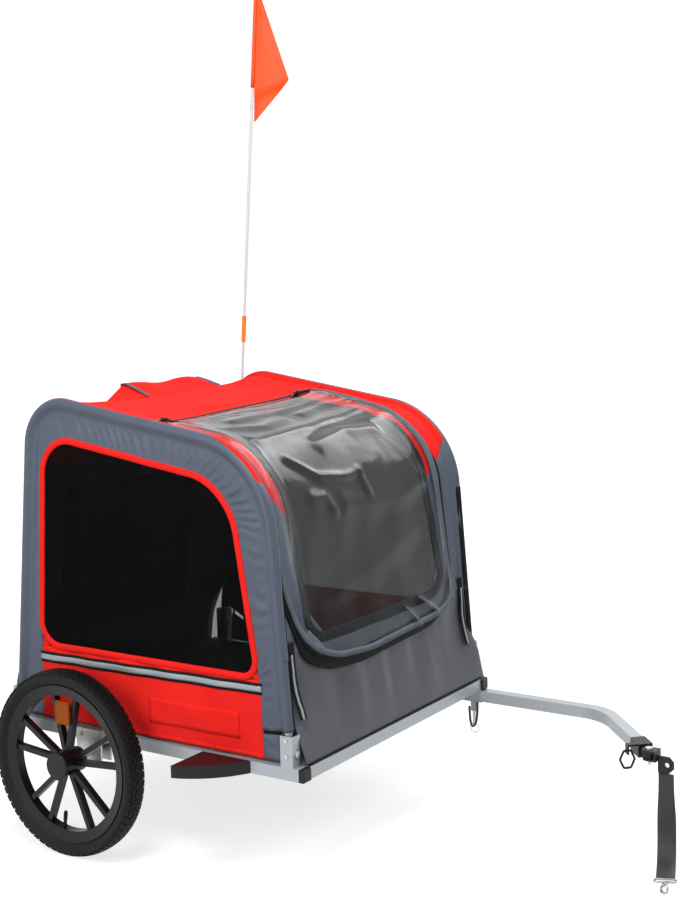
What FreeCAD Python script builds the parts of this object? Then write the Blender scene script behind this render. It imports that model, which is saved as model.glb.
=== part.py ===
import FreeCAD, Part
import math
import os

# Two-wheeled dog trailer for a bicycle, in millimetres.
# +X points forward to the hitch, +Y to the left, +Z up. Lengths along X are measured from the axle,
# and the finished solids are then moved so that the origin lies under the middle of the trailer.

V = FreeCAD.Vector
X_AXIS = V(1, 0, 0)
Y_AXIS = V(0, 1, 0)
Z_AXIS = V(0, 0, 1)
RIGHT = -1
LEFT = 1
SIDE_NAMES = {RIGHT: "right", LEFT: "left"}

# Wheels
WHEEL_D = 394.0
WHEEL_GAP = 40.0
TYRE_W = 46.0
TYRE_H = 36.0
TYRE_WALL = 4.0
TREAD_W = 34.0
CROWN_DROP = 4.0
RIM_H = 17.0
RIM_FLANGE_H = 5.0
RIM_FLANGE_T = 3.0
RIM_INNER_W = 20.0
BEAD_W = 26.0
HUB_R = 26.0
HUB_INNER = 28.0
HUB_OUTER = 29.0
SPOKE_PAIRS = 5
SPOKE_W = 11.0
SPOKE_T = 14.0
SPOKE_SPREAD_HUB = 9.0
SPOKE_SPREAD_RIM = 13.0
BEARING_OD = 28.0
BEARING_W = 8.0
HUB_CAP_R = 29.0
HUB_CAP_T = 7.0
VALVE_D = 8.0
VALVE_L = 36.0
VALVE_ANGLE = 262.0
REFLECTOR_W = 42.0
REFLECTOR_H = 50.0
REFLECTOR_T = 7.0
REFLECTOR_R = 108.0

# Axles and their brackets
AXLE_D = 12.0
RUNNING_GAP = 0.05
AXLE_END = 3.0
AXLE_BRACKET_L = 70.0
AXLE_BRACKET_T = 4.0
AXLE_BRACKET_DROP = 18.0
AXLE_SLEEVE_D = 22.0
LATCH_D = 30.0
LATCH_T = 14.0
BOLT_D = 6.0
BOLT_HEAD_D = 11.0
BOLT_HEAD_T = 4.0
AXLE_BOLT_SPACING = 44.0

# Chassis rails
RAIL = 25.0
RAIL_WALL = 1.5
RAIL_Z = 226.0
FRAME_W = 712.0
FRAME_REAR = 254.0
FRAME_FRONT = 567.0
PLUG_L = 13.0
PLUG_SHANK = 18.0
CROSS_INSET = 5.0
MIDDLE_RAIL_GAP = 2.5
FRONT_MIDDLE_X = 250.0
FLOOR_T = 5.0
FLOOR_SIDE_GAP = 2.0
FIT_GAP = 0.3

# Side hoops and the hinges they fold on
HOOP_D = 16.0
HOOP_WALL = 1.2
HOOP_FOOT_REAR = 209.6
HOOP_FOOT_FRONT = 525.7
FOOT_Z = 287.0
HOOP_LEAN_REAR = 6.0
HOOP_LEAN_FRONT = 3.6
ROOF_SLOPE = 8.64
HOOP_TOP = 935.5
HOOP_CORNER_REAR = 100.0
HOOP_CORNER_FRONT = 195.0
PIVOT_RISE = 26.0
STACK_GAP = 1.6
BRACKET_ABOVE_PIVOT = 36.0
BRACKET_W = 30.0
BRACKET_T = 2.0
HINGE_PIN_D = 8.0
HINGE_HEAD_T = 4.0
HINGE_HEAD_D = 13.0
RIVET_D = 8.0
RIVET_T = 2.0
RIVET_DROP = (9.0, 40.0)

# Cover: sleeves on the hoops, side walls, roof, ends and front door
FABRIC_T = 1.5
SLEEVE_T = 1.6
SLEEVE_GAP = 0.4
WALL_FOOT_GAP = 4.0
NOTCH_GAP = 3.0
WINDOW_REAR = 131.0
WINDOW_FRONT = 449.0
WINDOW_SILL = 422.0
WINDOW_HEAD_DROP = 85.0
WINDOW_LEAN_REAR = 4.0
WINDOW_LEAN_FRONT = 8.5
WINDOW_CORNERS = (42.0, 30.0, 130.0, 70.0)
PIPING_W = 15.0
PIPING_T = 5.0
MESH_T = 1.0
RED_REAR = 146.0
RED_FRONT = 464.0
SEAM_GAP = 0.3
COVER_HEM_GAP = 0.3
COVER_REAR_INSET = 2.0
COVER_FRONT_INSET = 1.0
COVER_LEAN_REAR = 8.2
COVER_LEAN_FRONT = 11.0
COVER_RISE = 1.5
COVER_CORNER_REAR = 104.0
COVER_CORNER_FRONT = 198.0
ROOF_SAG = 18.0
REAR_SEAM_DROP = 137.0
REAR_BORDER = 123.2
REAR_SILL_RISE = 149.0
REAR_HEAD_DROP = 60.0
ZIP_X = 200.0
GUSSET_W = 73.2
DOOR_SILL = 472.0
RAIN_SIDE_LAP = 31.0
RAIN_SILL_LAP = 36.0
RAIN_T = 1.0
RAIN_LIFT = 0.4
FOLD_COUNT = 6
FOLD_DEPTH = 7.0
ROLL_X = -100.0
ROLL_Y = 43.0
ROLL_L = 222.0
ROLL_W = 92.0
ROLL_H = 24.0

# Wheel guards
GUARD_REAR = 314.0
GUARD_FRONT = 436.0
GUARD_REACH = 96.0
GUARD_BULGE = 16.0
GUARD_WALL = 3.0

# Drawbar, its bracket and lock pin
BAR = 25.0
BAR_WALL = 1.5
BAR_GAP = 0.5
BAR_PIVOT_X = 440.0
BAR_BEND_X = 874.0
BAR_BEND_ANGLE = 46.0
BAR_BEND_R = 100.0
BAR_ARM = 232.0
BAR_BRACKET_T = 2.0
BAR_BRACKET_FRONT = 562.0
BAR_BOLT_D = 10.0
BAR_BOLT_HEAD_D = 18.0
BAR_BOLT_HEAD_T = 6.0
PIN_X = 536.0
PIN_D = 8.0
PIN_L = 62.0
PIN_GUIDE_D = 16.0
PIN_GUIDE_L = 24.0
PIN_TRAVEL = 22.0
PIN_RING_R = 11.0
PIN_RING_WIRE = 2.0
PIN_EYE_D = 3.6
PIN_EYE_DROP = 0.4
LANYARD_D = 4.0

# Hitch at the end of the drawbar
SOCKET_W = 31.0
SOCKET_H = 28.0
SOCKET_LAP = 30.0
SOCKET_L = 18.0
TONGUE_H = 12.0
TONGUE_R = 12.0
HITCH_PIN_S = 40.0
HITCH_PIN_D = 8.0
HITCH_PIN_HEAD_D = 16.0
HITCH_PIN_HEAD_T = 3.0
HITCH_PIN_TIP = 10.0
CLEVIS_T = 4.0
CLEVIS_R = 14.0
CLEVIS_GAP = 1.0
CLEVIS_WEB_X = 15.0
CLEVIS_WEB_T = 4.0
PLATE_T = 5.0
PLATE_L = 34.0
PLATE_H = 34.0
PLATE_CHAMFER = 10.0
PLATE_DROP = 17.0
PLATE_HOLE_D = 10.2
BAIL_WIRE = 5.0
BAIL_GAP = 0.3
BAIL_S = 8.0
BAIL_OUT = 36.0
BAIL_W = 32.0
BAIL_H = 36.0
BAIL_LUG_W = 14.0
BAIL_LUG_T = 4.0

# Safety strap and its snap hook; s runs along the floor from under the strap's exit
STRAP_W = 38.0
STRAP_T = 2.0
STRAP_TURN = -69.0
LOOP_WIRE = 4.0
LOOP_W = 46.0
LOOP_L = 17.0
HOOK_WIRE = 5.0
HOOK_W = 17.0
HOOK_L = 40.0
HOOK_EYE_R = 6.0
HOOK_NOSE_L = 8.0
HOOK_NOSE_IN = 5.0
GATE_GAP = 0.3

# Flag
POLE_D = 7.0
POLE_BASE_X = -199.0
POLE_LEAN = 5.3
POLE_SIDE_GAP = 1.5
POLE_FOOT_Z = 229.0
POLE_JOINT_Z = 1056.0
POLE_TOP_Z = 1888.0
FERRULE_D = 11.0
FERRULE_L = 66.0
HOLDER_W = 20.0
HOLDER_H = 24.0
HOLDER_GAP = 0.1
FLAG_HOIST = 236.0
FLAG_FLY = 100.0
FLAG_FLY_DROP = 207.0
FLAG_TIP = 14.0
FLAG_TIP_DROP = 312.0
FLAG_BACK = 26.0
FLAG_T = 1.0
FLAG_GAP = 0.3
FLAG_TURN = 32.3

# Sizes that follow from the ones above
WHEEL_R = WHEEL_D / 2
AXLE_Z = WHEEL_R
TRACK = FRAME_W + 2 * WHEEL_GAP + TYRE_W
RAIL_TOP = RAIL_Z + RAIL
RAIL_Y = FRAME_W / 2 - RAIL / 2
RAIL_INNER = FRAME_W / 2 - RAIL
SEAT_R = WHEEL_R - TYRE_H
RIM_R = SEAT_R - RIM_H
MIDDLE_RAILS = (-(AXLE_BRACKET_L / 2 + MIDDLE_RAIL_GAP + RAIL / 2), FRONT_MIDDLE_X)
SLEEVE_R = HOOP_D / 2 + SLEEVE_GAP + SLEEVE_T
PIVOT_Z = {RIGHT: RAIL_TOP + PIVOT_RISE, LEFT: RAIL_TOP + PIVOT_RISE + 2 * SLEEVE_R + STACK_GAP}
COVER_HALF = RAIL_Y - SLEEVE_R - FIT_GAP
COVER_HEM = RAIL_TOP + COVER_HEM_GAP
COVER_REAR = -(FRAME_REAR - CROSS_INSET) + COVER_REAR_INSET
COVER_FRONT = FRAME_FRONT - CROSS_INSET - COVER_FRONT_INSET
COVER_TOP = HOOP_TOP + COVER_RISE
REAR_SEAM_Z = COVER_TOP - REAR_SEAM_DROP
REAR_WINDOW_W = 2 * (COVER_HALF - REAR_BORDER)
REAR_WINDOW_SILL = RAIL_TOP + REAR_SILL_RISE
REAR_WINDOW_HEAD = REAR_SEAM_Z - REAR_HEAD_DROP
DOOR_W = 2 * (COVER_HALF - GUSSET_W)
RAIN_W = DOOR_W + 2 * RAIN_SIDE_LAP
RAIN_SILL = DOOR_SILL - RAIN_SILL_LAP
BAR_TOP = RAIL_Z - BAR_BRACKET_T - BAR_GAP
BAR_Z = BAR_TOP - BAR / 2
BAR_BOTTOM = BAR_TOP - BAR
BRACKET_BOTTOM = BAR_BOTTOM - BAR_GAP - BAR_BRACKET_T
ARM_TURN = math.radians(-BAR_BEND_ANGLE)
ARM_ALONG = V(math.cos(ARM_TURN), math.sin(ARM_TURN), 0)
ARM_END = V(BAR_BEND_X, RAIL_Y, BAR_Z) + ARM_ALONG * BAR_ARM
HITCH_PIVOT = ARM_END + ARM_ALONG * HITCH_PIN_S
PLATE_REAR = HITCH_PIVOT.x + CLEVIS_WEB_X + CLEVIS_WEB_T
PLATE_FRONT = PLATE_REAR + PLATE_L
PLATE_Z = BAR_Z - PLATE_DROP
STRAP_EXIT = CLEVIS_WEB_X + CLEVIS_WEB_T + PLATE_L / 2
STRAP_TOP = PLATE_Z - PLATE_H / 2 - FIT_GAP
STRAP_ROUTE = ((0, STRAP_TOP), (5, 132), (3, 88), (9, 44), (36, 9), (80, 1.05), (106, 1.0))
ORIGIN_X = (PLATE_FRONT - FRAME_REAR) / 2
CORD_NODES = ("safety_strap", "strap_loop", "snap_hook", "hook_gate", "pin_lanyard")


def slope(degrees):
    return math.tan(math.radians(degrees))


def block(x0, x1, y0, y1, z0, z1):
    return Part.makeBox(x1 - x0, y1 - y0, z1 - z0, V(x0, y0, z0))


def rod(start, along, length, radius):
    return Part.makeCylinder(radius, length, start, along)


def turned(shape, angle, centre=V(0, 0, 0), axis=Z_AXIS):
    copy = shape.copy()
    copy.rotate(centre, axis, angle)
    return copy


def moved(shape, offset):
    copy = shape.copy()
    copy.translate(offset)
    return copy


def joined(shapes):
    return shapes[0].multiFuse(shapes[1:]).removeSplitter() if len(shapes) > 1 else shapes[0]


def round_corner(before, corner, after, radius):
    """Start, middle and end of the arc that rounds a corner."""
    into = (corner - before).normalize()
    out = (after - corner).normalize()
    turn = into.getAngle(out)
    reach = radius * math.tan(turn / 2)
    centre_way = (out - into).normalize()
    middle = corner + centre_way * (radius / math.cos(turn / 2) - radius)
    return corner - into * reach, middle, corner + out * reach


def open_path(points, radii):
    """Edges of an open path of straight runs joined by tangent arcs, one radius for each inner point."""
    edges = []
    start = points[0]
    for i, radius in enumerate(radii):
        first, middle, last = round_corner(points[i], points[i + 1], points[i + 2], radius)
        edges.append(Part.LineSegment(start, first).toShape())
        edges.append(Part.Arc(first, middle, last).toShape())
        start = last
    edges.append(Part.LineSegment(start, points[-1]).toShape())
    return edges


def closed_path(points, radii):
    """Closed wire with every corner rounded."""
    count = len(points)
    corners = [round_corner(points[i - 1], points[i], points[(i + 1) % count], radii[i]) for i in range(count)]
    edges = []
    for i, (first, middle, last) in enumerate(corners):
        edges.append(Part.Arc(first, middle, last).toShape())
        edges.append(Part.LineSegment(last, corners[(i + 1) % count][0]).toShape())
    return Part.Wire(edges)


def sideways(points, radii, normal, distance):
    """An open path's points and radii after it is moved to its left, seen against the normal."""
    runs = [(b - a).normalize() for a, b in zip(points, points[1:])]
    lefts = [normal.cross(run) for run in runs]
    shifted = [points[0] + lefts[0] * distance]
    new_radii = []
    for i, radius in enumerate(radii):
        both = lefts[i] + lefts[i + 1]
        shifted.append(points[i + 1] + both * (distance / (1 + lefts[i].dot(lefts[i + 1]))))
        turn = normal.dot(runs[i].cross(runs[i + 1]))
        new_radii.append(radius - math.copysign(distance, turn))
    shifted.append(points[-1] + lefts[-1] * distance)
    return shifted, new_radii


def band(points, radii, normal, low, high):
    """Closed wire round the strip between two sideways copies of a path."""
    first_points, first_radii = sideways(points, radii, normal, low)
    second_points, second_radii = sideways(points, radii, normal, high)
    edges = open_path(first_points, first_radii) + open_path(second_points, second_radii)
    edges.append(Part.LineSegment(first_points[0], second_points[0]).toShape())
    edges.append(Part.LineSegment(first_points[-1], second_points[-1]).toShape())
    return Part.Wire(Part.__sortEdges__(edges))


def sweep(edges, radius):
    """Round bar along a path."""
    path = Part.Wire(edges)
    start = path.OrderedVertexes[0].Point
    along = path.OrderedEdges[0].tangentAt(path.OrderedEdges[0].FirstParameter)
    circle = Part.Wire([Part.makeCircle(radius, start, along)])
    return path.makePipeShell([circle], True, False)


def cord_radii(points, share=0.45):
    """The largest radii that the runs of a free cord allow."""
    radii = []
    for before, corner, after in zip(points, points[1:], points[2:]):
        turn = (corner - before).getAngle(after - corner)
        shorter = min((corner - before).Length, (after - corner).Length)
        radii.append(share * shorter / math.tan(turn / 2))
    return radii


# Wheels

def tyre(side):
    """Open carcass with rounded shoulders, its beads between the rim's flanges, and the tube's valve."""
    bead = BEAD_W / 2
    knee = SEAT_R + RIM_FLANGE_H + 1.0
    belly = SEAT_R + TYRE_H * 0.55
    shoulder = WHEEL_R - CROWN_DROP

    def half_section(inset):
        edge = bead - inset
        return [V(SEAT_R, edge, 0), V(knee, edge, 0), V(belly, TYRE_W / 2 - inset, 0),
                V(shoulder - inset, TREAD_W / 2 - inset / 2, 0), V(WHEEL_R - inset, 0, 0)]

    def mirrored(point):
        return V(point.x, -point.y, 0)

    edges = []
    for inset in (0.0, TYRE_WALL):
        foot, low, belly_point, top, crown = half_section(inset)
        edges.append(Part.LineSegment(foot, low).toShape())
        edges.append(Part.Arc(low, belly_point, top).toShape())
        edges.append(Part.Arc(top, crown, mirrored(top)).toShape())
        edges.append(Part.Arc(mirrored(top), mirrored(belly_point), mirrored(low)).toShape())
        edges.append(Part.LineSegment(mirrored(low), mirrored(foot)).toShape())
    outer_foot = half_section(0.0)[0]
    inner_foot = half_section(TYRE_WALL)[0]
    edges.append(Part.LineSegment(outer_foot, inner_foot).toShape())
    edges.append(Part.LineSegment(mirrored(outer_foot), mirrored(inner_foot)).toShape())
    section = Part.Face(Part.Wire(Part.__sortEdges__(edges)))
    carcass = on_axle(section.revolve(V(0, 0, 0), Y_AXIS, 360), side)
    return Part.makeCompound([carcass, valve(side)])


def on_axle(shape, side):
    """Moves a wheel piece from the origin to its axle; outboard is +Y before that."""
    placed = shape if side == LEFT else shape.mirror(V(0, 0, 0), Y_AXIS)
    return moved(placed, V(0, side * TRACK / 2, AXLE_Z))


def spoke(angle, lean):
    """One straight spoke; lean turns its rim end away from its pair's middle line."""
    inner = HUB_R - 4.0
    outer = RIM_R + 3.0
    foot = V(inner * math.sin(math.radians(lean * SPOKE_SPREAD_HUB)), 0, inner)
    tip = V(outer * math.sin(math.radians(lean * SPOKE_SPREAD_RIM)), 0, outer)
    along = (tip - foot).normalize()
    across = Y_AXIS.cross(along) * (SPOKE_W / 2)
    corners = [foot - across, foot + across, tip + across, tip - across]
    low = V(0, SPOKE_T / 2, 0)
    outline = Part.makePolygon([c - low for c in corners + corners[:1]])
    return turned(Part.Face(outline).extrude(low * 2), angle, axis=Y_AXIS)


def rim(side):
    """Moulded rim, spokes and hub in one piece, bored for its bearings and the valve."""
    bead = BEAD_W / 2
    lip = SEAT_R + RIM_FLANGE_H
    half = [(RIM_R, RIM_INNER_W / 2), (lip, bead + RIM_FLANGE_T), (lip, bead), (SEAT_R, bead)]
    points = [V(r, a, 0) for r, a in half] + [V(r, -a, 0) for r, a in reversed(half)]
    ring = Part.Face(Part.makePolygon(points + points[:1])).revolve(V(0, 0, 0), Y_AXIS, 360)
    hub = rod(V(0, -HUB_INNER, 0), Y_AXIS, HUB_INNER + HUB_OUTER, HUB_R)
    spokes = [spoke(360.0 * i / SPOKE_PAIRS, lean) for i in range(SPOKE_PAIRS) for lean in (-1, 1)]
    body = joined([ring, hub] + spokes)
    for start, length, radius in hub_bores():
        body = body.cut(rod(V(0, start, 0), Y_AXIS, length, radius))
    return on_axle(body.cut(valve_stem()), side)


def hub_bores():
    """Start, length and radius of the through bore and the two bearing seats."""
    return ((-HUB_INNER, HUB_INNER + HUB_OUTER, BEARING_OD / 2 - 3.0),
            (-HUB_INNER, BEARING_W, BEARING_OD / 2),
            (HUB_OUTER - BEARING_W, BEARING_W, BEARING_OD / 2))


def bearings(side):
    rings = []
    for start in (-HUB_INNER, HUB_OUTER - BEARING_W):
        ring = rod(V(0, start, 0), Y_AXIS, BEARING_W, BEARING_OD / 2)
        rings.append(on_axle(ring.cut(rod(V(0, start, 0), Y_AXIS, BEARING_W, AXLE_D / 2)), side))
    return Part.makeCompound(rings)


def hub_cap(side):
    cap = rod(V(0, HUB_OUTER, 0), Y_AXIS, HUB_CAP_T, HUB_CAP_R)
    rim_edges = [e for e in cap.Edges if abs(e.CenterOfMass.y - HUB_OUTER - HUB_CAP_T) < 0.01]
    cap = cap.makeFillet(HUB_CAP_T * 0.4, rim_edges)
    room = rod(V(0, HUB_OUTER, 0), Y_AXIS, AXLE_END + 1.0, AXLE_D / 2 + 3.0)
    return on_axle(cap.cut(room), side)


def valve_stem():
    way = V(math.cos(math.radians(VALVE_ANGLE)), 0, math.sin(math.radians(VALVE_ANGLE)))
    return rod(way * (SEAT_R - RIM_H - VALVE_L), way, RIM_H + VALVE_L, VALVE_D / 2)


def valve(side):
    seat = rod(V(0, -BEAD_W, 0), Y_AXIS, 2 * BEAD_W, SEAT_R)
    return on_axle(valve_stem().common(seat), side)


def reflector(side):
    plate = block(-REFLECTOR_W / 2, REFLECTOR_W / 2, SPOKE_T / 2, SPOKE_T / 2 + REFLECTOR_T,
                  REFLECTOR_R - REFLECTOR_H / 2, REFLECTOR_R + REFLECTOR_H / 2)
    return on_axle(plate, side)


# Chassis

def axle_bolt_points(side):
    """Bolt centres of an axle bracket on the rail's outer face."""
    face = side * FRAME_W / 2
    return [V(x, face, RAIL_Z + RAIL / 2) for x in (-AXLE_BOLT_SPACING / 2, AXLE_BOLT_SPACING / 2)]


def axle_bolt(point, side, radius):
    """Shank from the bracket's outer plate to its inner one."""
    grip = RAIL + 2 * AXLE_BRACKET_T
    start = point + V(0, side * AXLE_BRACKET_T, 0)
    return rod(start, V(0, -side, 0), grip, radius)


def side_rail(side):
    low, high = sorted((side * RAIL_INNER, side * FRAME_W / 2))
    rear = -FRAME_REAR + PLUG_L
    front = FRAME_FRONT - PLUG_L
    tube = block(rear, front, low, high, RAIL_Z, RAIL_TOP)
    tube = tube.cut(block(rear, front, low + RAIL_WALL, high - RAIL_WALL,
                          RAIL_Z + RAIL_WALL, RAIL_TOP - RAIL_WALL))
    for point in axle_bolt_points(side):
        tube = tube.cut(axle_bolt(point, side, BOLT_D / 2))
    return tube


def cross_rail(centre):
    """Square tube between the side rails."""
    x0 = centre - RAIL / 2
    tube = block(x0, x0 + RAIL, -RAIL_INNER, RAIL_INNER, RAIL_Z, RAIL_TOP)
    room = block(x0 + RAIL_WALL, x0 + RAIL - RAIL_WALL, -RAIL_INNER, RAIL_INNER,
                 RAIL_Z + RAIL_WALL, RAIL_TOP - RAIL_WALL)
    return tube.cut(room)


def rail_end_plugs():
    """Square caps with a shank inside the rail."""
    plugs = []
    inner = RAIL / 2 - RAIL_WALL
    for side in (RIGHT, LEFT):
        for end, way in ((-FRAME_REAR, 1), (FRAME_FRONT, -1)):
            x0, x1 = sorted((end, end + way * PLUG_L))
            s0, s1 = sorted((end + way * PLUG_L, end + way * (PLUG_L + PLUG_SHANK)))
            y = side * RAIL_Y
            z = RAIL_Z + RAIL / 2
            cap = block(x0, x1, y - RAIL / 2, y + RAIL / 2, RAIL_Z, RAIL_TOP)
            outer = [e for e in cap.Edges if abs(e.CenterOfMass.x - end) < 0.01]
            shank = block(s0, s1, y - inner, y + inner, z - inner, z + inner)
            plugs.append(cap.makeFillet(2.0, outer).fuse(shank))
    return Part.makeCompound(plugs)


def floor_panel():
    edge = RAIL_INNER - FLOOR_SIDE_GAP
    return block(-FRAME_REAR + CROSS_INSET + RAIL / 2, FRAME_FRONT - CROSS_INSET - RAIL / 2,
                 -edge, edge, RAIL_TOP, RAIL_TOP + FLOOR_T)


def hoop_foot(side, front):
    """Centre of a hoop's hinge pin."""
    rise = PIVOT_Z[side] - FOOT_Z
    if front:
        x = HOOP_FOOT_FRONT - rise * slope(HOOP_LEAN_FRONT)
    else:
        x = -HOOP_FOOT_REAR + rise * slope(HOOP_LEAN_REAR)
    return V(x, side * RAIL_Y, PIVOT_Z[side])


def bracket_top(side):
    return PIVOT_Z[side] + BRACKET_ABOVE_PIVOT


def hinge_bracket(side, front):
    """Upright channel on the rail, open to the inside, with the pin across its flanges."""
    foot = hoop_foot(side, front)
    half = BRACKET_W / 2
    outer = side * FRAME_W / 2
    inner = side * RAIL_INNER
    low, high = sorted((outer, inner))
    shell = block(foot.x - half, foot.x + half, low, high, RAIL_TOP, bracket_top(side))
    open_low, open_high = sorted((outer - side * BRACKET_T, inner - side * BRACKET_T))
    room = block(foot.x - half + BRACKET_T, foot.x + half - BRACKET_T, open_low, open_high,
                 RAIL_TOP + BRACKET_T, bracket_top(side))
    hole = rod(foot - X_AXIS * half, X_AXIS, BRACKET_W, HINGE_PIN_D / 2)
    return shell.cut(room).cut(hole)


def hinge_pin(side, front):
    foot = hoop_foot(side, front)
    half = BRACKET_W / 2
    shank = rod(foot - X_AXIS * half, X_AXIS, BRACKET_W, HINGE_PIN_D / 2)
    heads = [rod(foot + X_AXIS * half * way, X_AXIS * way, HINGE_HEAD_T, HINGE_HEAD_D / 2) for way in (-1, 1)]
    return joined([shank] + heads)


def frame_fasteners():
    """Rivets on the hinge brackets and bolts through the axle brackets."""
    pieces = []
    for side in (RIGHT, LEFT):
        for front in (False, True):
            foot = hoop_foot(side, front)
            for drop in RIVET_DROP:
                start = V(foot.x, side * FRAME_W / 2, bracket_top(side) - drop)
                pieces.append(rod(start, V(0, side, 0), RIVET_T, RIVET_D / 2))
        for point in axle_bolt_points(side):
            shank = axle_bolt(point, side, BOLT_D / 2)
            head_start = point + V(0, side * AXLE_BRACKET_T, 0)
            head = rod(head_start, V(0, side, 0), BOLT_HEAD_T, BOLT_HEAD_D / 2)
            nut_start = point - V(0, side * (RAIL + AXLE_BRACKET_T), 0)
            nut = rod(nut_start, V(0, -side, 0), BOLT_HEAD_T, BOLT_HEAD_D / 2)
            pieces.append(joined([shank, head, nut]))
    return Part.makeCompound(pieces)


def axle_bracket(side):
    """Two plates that clasp the rail, with a sleeve for the axle below it."""
    outer = side * FRAME_W / 2
    inner = side * RAIL_INNER
    half = AXLE_BRACKET_L / 2
    bottom = AXLE_Z - AXLE_BRACKET_DROP
    plates = []
    for face, way in ((outer, side), (inner, -side)):
        low, high = sorted((face, face + way * AXLE_BRACKET_T))
        plates.append(block(-half, half, low, high, bottom, RAIL_TOP))
    sleeve = rod(V(0, inner, AXLE_Z), V(0, side, 0), RAIL, AXLE_SLEEVE_D / 2)
    body = joined(plates + [sleeve])
    body = body.cut(rod(V(0, inner - side * AXLE_BRACKET_T, AXLE_Z), V(0, side, 0),
                        RAIL + 2 * AXLE_BRACKET_T, AXLE_D / 2 - RUNNING_GAP))
    for point in axle_bolt_points(side):
        body = body.cut(axle_bolt(point, side, BOLT_D / 2))
    return body


def axle(side):
    """Stub axle from the latch, through the sleeve and both bearings, to just under the hub cap."""
    start = side * (RAIL_INNER - AXLE_BRACKET_T - LATCH_T)
    end = side * (TRACK / 2 + HUB_OUTER + AXLE_END)
    return rod(V(0, start, AXLE_Z), V(0, side, 0), abs(end - start), AXLE_D / 2 - RUNNING_GAP)


def axle_latch(side):
    """Plastic housing of the push-button catch at the axle's inner end."""
    start = V(0, side * (RAIL_INNER - AXLE_BRACKET_T), AXLE_Z)
    housing = rod(start, V(0, -side, 0), LATCH_T, LATCH_D / 2)
    return housing.cut(rod(start, V(0, -side, 0), LATCH_T, AXLE_D / 2 - RUNNING_GAP))


def wheel_guard(side):
    """Moulded guard ahead of the wheel: a top plate with a skirt, open below."""
    face = FRAME_W / 2
    tip = face + GUARD_REACH

    def outline(inset):
        rear = GUARD_REAR + inset
        front = GUARD_FRONT - inset
        end = V(rear, tip - inset, 0)
        foot = V(front, face, 0)
        bulge = (end + foot) * 0.5 + V(1, 1, 0).normalize() * GUARD_BULGE
        edges = [Part.LineSegment(V(rear, face, 0), end).toShape(), Part.Arc(end, bulge, foot).toShape(),
                 Part.LineSegment(foot, V(rear, face, 0)).toShape()]
        return Part.Face(Part.Wire(edges))

    body = moved(outline(0.0), V(0, 0, RAIL_Z)).extrude(V(0, 0, RAIL))
    room = moved(outline(GUARD_WALL), V(0, 0, RAIL_Z)).extrude(V(0, 0, RAIL - GUARD_WALL))
    guard = body.cut(room)
    return guard if side == LEFT else guard.mirror(V(0, 0, 0), Y_AXIS)


# Hoops and side walls

def hoop_points(side, start_z):
    """Foot, two top corners and foot of a hoop's centre line, cut off at a height."""
    y = side * RAIL_Y
    rear = -HOOP_FOOT_REAR - FOOT_Z * slope(HOOP_LEAN_REAR)
    front = HOOP_FOOT_FRONT + FOOT_Z * slope(HOOP_LEAN_FRONT)
    fall = slope(ROOF_SLOPE)
    rear_top = (rear + slope(HOOP_LEAN_REAR) * HOOP_TOP) / (1 + slope(HOOP_LEAN_REAR) * fall)
    front_top = (front - slope(HOOP_LEAN_FRONT) * HOOP_TOP) / (1 - slope(HOOP_LEAN_FRONT) * fall)
    return [V(rear + start_z * slope(HOOP_LEAN_REAR), y, start_z),
            V(rear_top, y, HOOP_TOP - rear_top * fall),
            V(front_top, y, HOOP_TOP - front_top * fall),
            V(front - start_z * slope(HOOP_LEAN_FRONT), y, start_z)]


HOOP_RADII = [HOOP_CORNER_REAR, HOOP_CORNER_FRONT]


def hoop(side):
    """Bent tube with a round eye at each foot."""
    edges = open_path(hoop_points(side, PIVOT_Z[side]), HOOP_RADII)
    tube = sweep(edges, HOOP_D / 2).cut(sweep(edges, HOOP_D / 2 - HOOP_WALL))
    feet = [hoop_foot(side, front) for front in (False, True)]
    half = HOOP_D / 2
    eyes = [rod(foot - X_AXIS * half, X_AXIS, HOOP_D, half) for foot in feet]
    body = joined([tube] + eyes)
    for foot in feet:
        body = body.cut(rod(foot - X_AXIS * HOOP_D, X_AXIS, 2 * HOOP_D, HINGE_PIN_D / 2 + RUNNING_GAP))
    return body


def window_outline(side, grow):
    """Rounded side window; grow moves its edge outward."""
    y = side * RAIL_Y
    fall = slope(ROOF_SLOPE)
    head = HOOP_TOP - WINDOW_HEAD_DROP + grow
    sill = WINDOW_SILL - grow
    rear = -WINDOW_REAR - grow
    front = WINDOW_FRONT + grow
    rear_lean = slope(WINDOW_LEAN_REAR)
    front_lean = slope(WINDOW_LEAN_FRONT)
    rear_top = (rear + rear_lean * (head - sill)) / (1 + rear_lean * fall)
    front_top = (front - front_lean * (head - sill)) / (1 - front_lean * fall)
    points = [V(rear, y, sill), V(front, y, sill), V(front_top, y, head - fall * front_top),
              V(rear_top, y, head - fall * rear_top)]
    return closed_path(points, [radius + grow for radius in WINDOW_CORNERS])


def side_slab(wire, side, thickness):
    """Flat sheet of a wall, centred on the hoop's plane."""
    low = V(0, -thickness / 2, 0)
    return moved(Part.Face(wire), low).extrude(low * -2)


def wall_foot(side):
    return RAIL_TOP + WALL_FOOT_GAP


def hinge_notch(side, front):
    """Room round a hinge bracket, so that the wall clears it at every fold."""
    foot = hoop_foot(side, front)
    half = BRACKET_W / 2 + HINGE_HEAD_T + NOTCH_GAP
    return block(foot.x - half, foot.x + half, foot.y - RAIL, foot.y + RAIL, 0, bracket_top(side) + NOTCH_GAP)


def side_wall_sheet(side):
    """Whole wall inside the hoop, before its window and lower panel are cut out."""
    points = hoop_points(side, wall_foot(side))
    edges = open_path(points, HOOP_RADII)
    edges.append(Part.LineSegment(points[-1], points[0]).toShape())
    sheet = side_slab(Part.Wire(edges), side, FABRIC_T)
    for front in (False, True):
        sheet = sheet.cut(hinge_notch(side, front))
    return sheet


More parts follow.
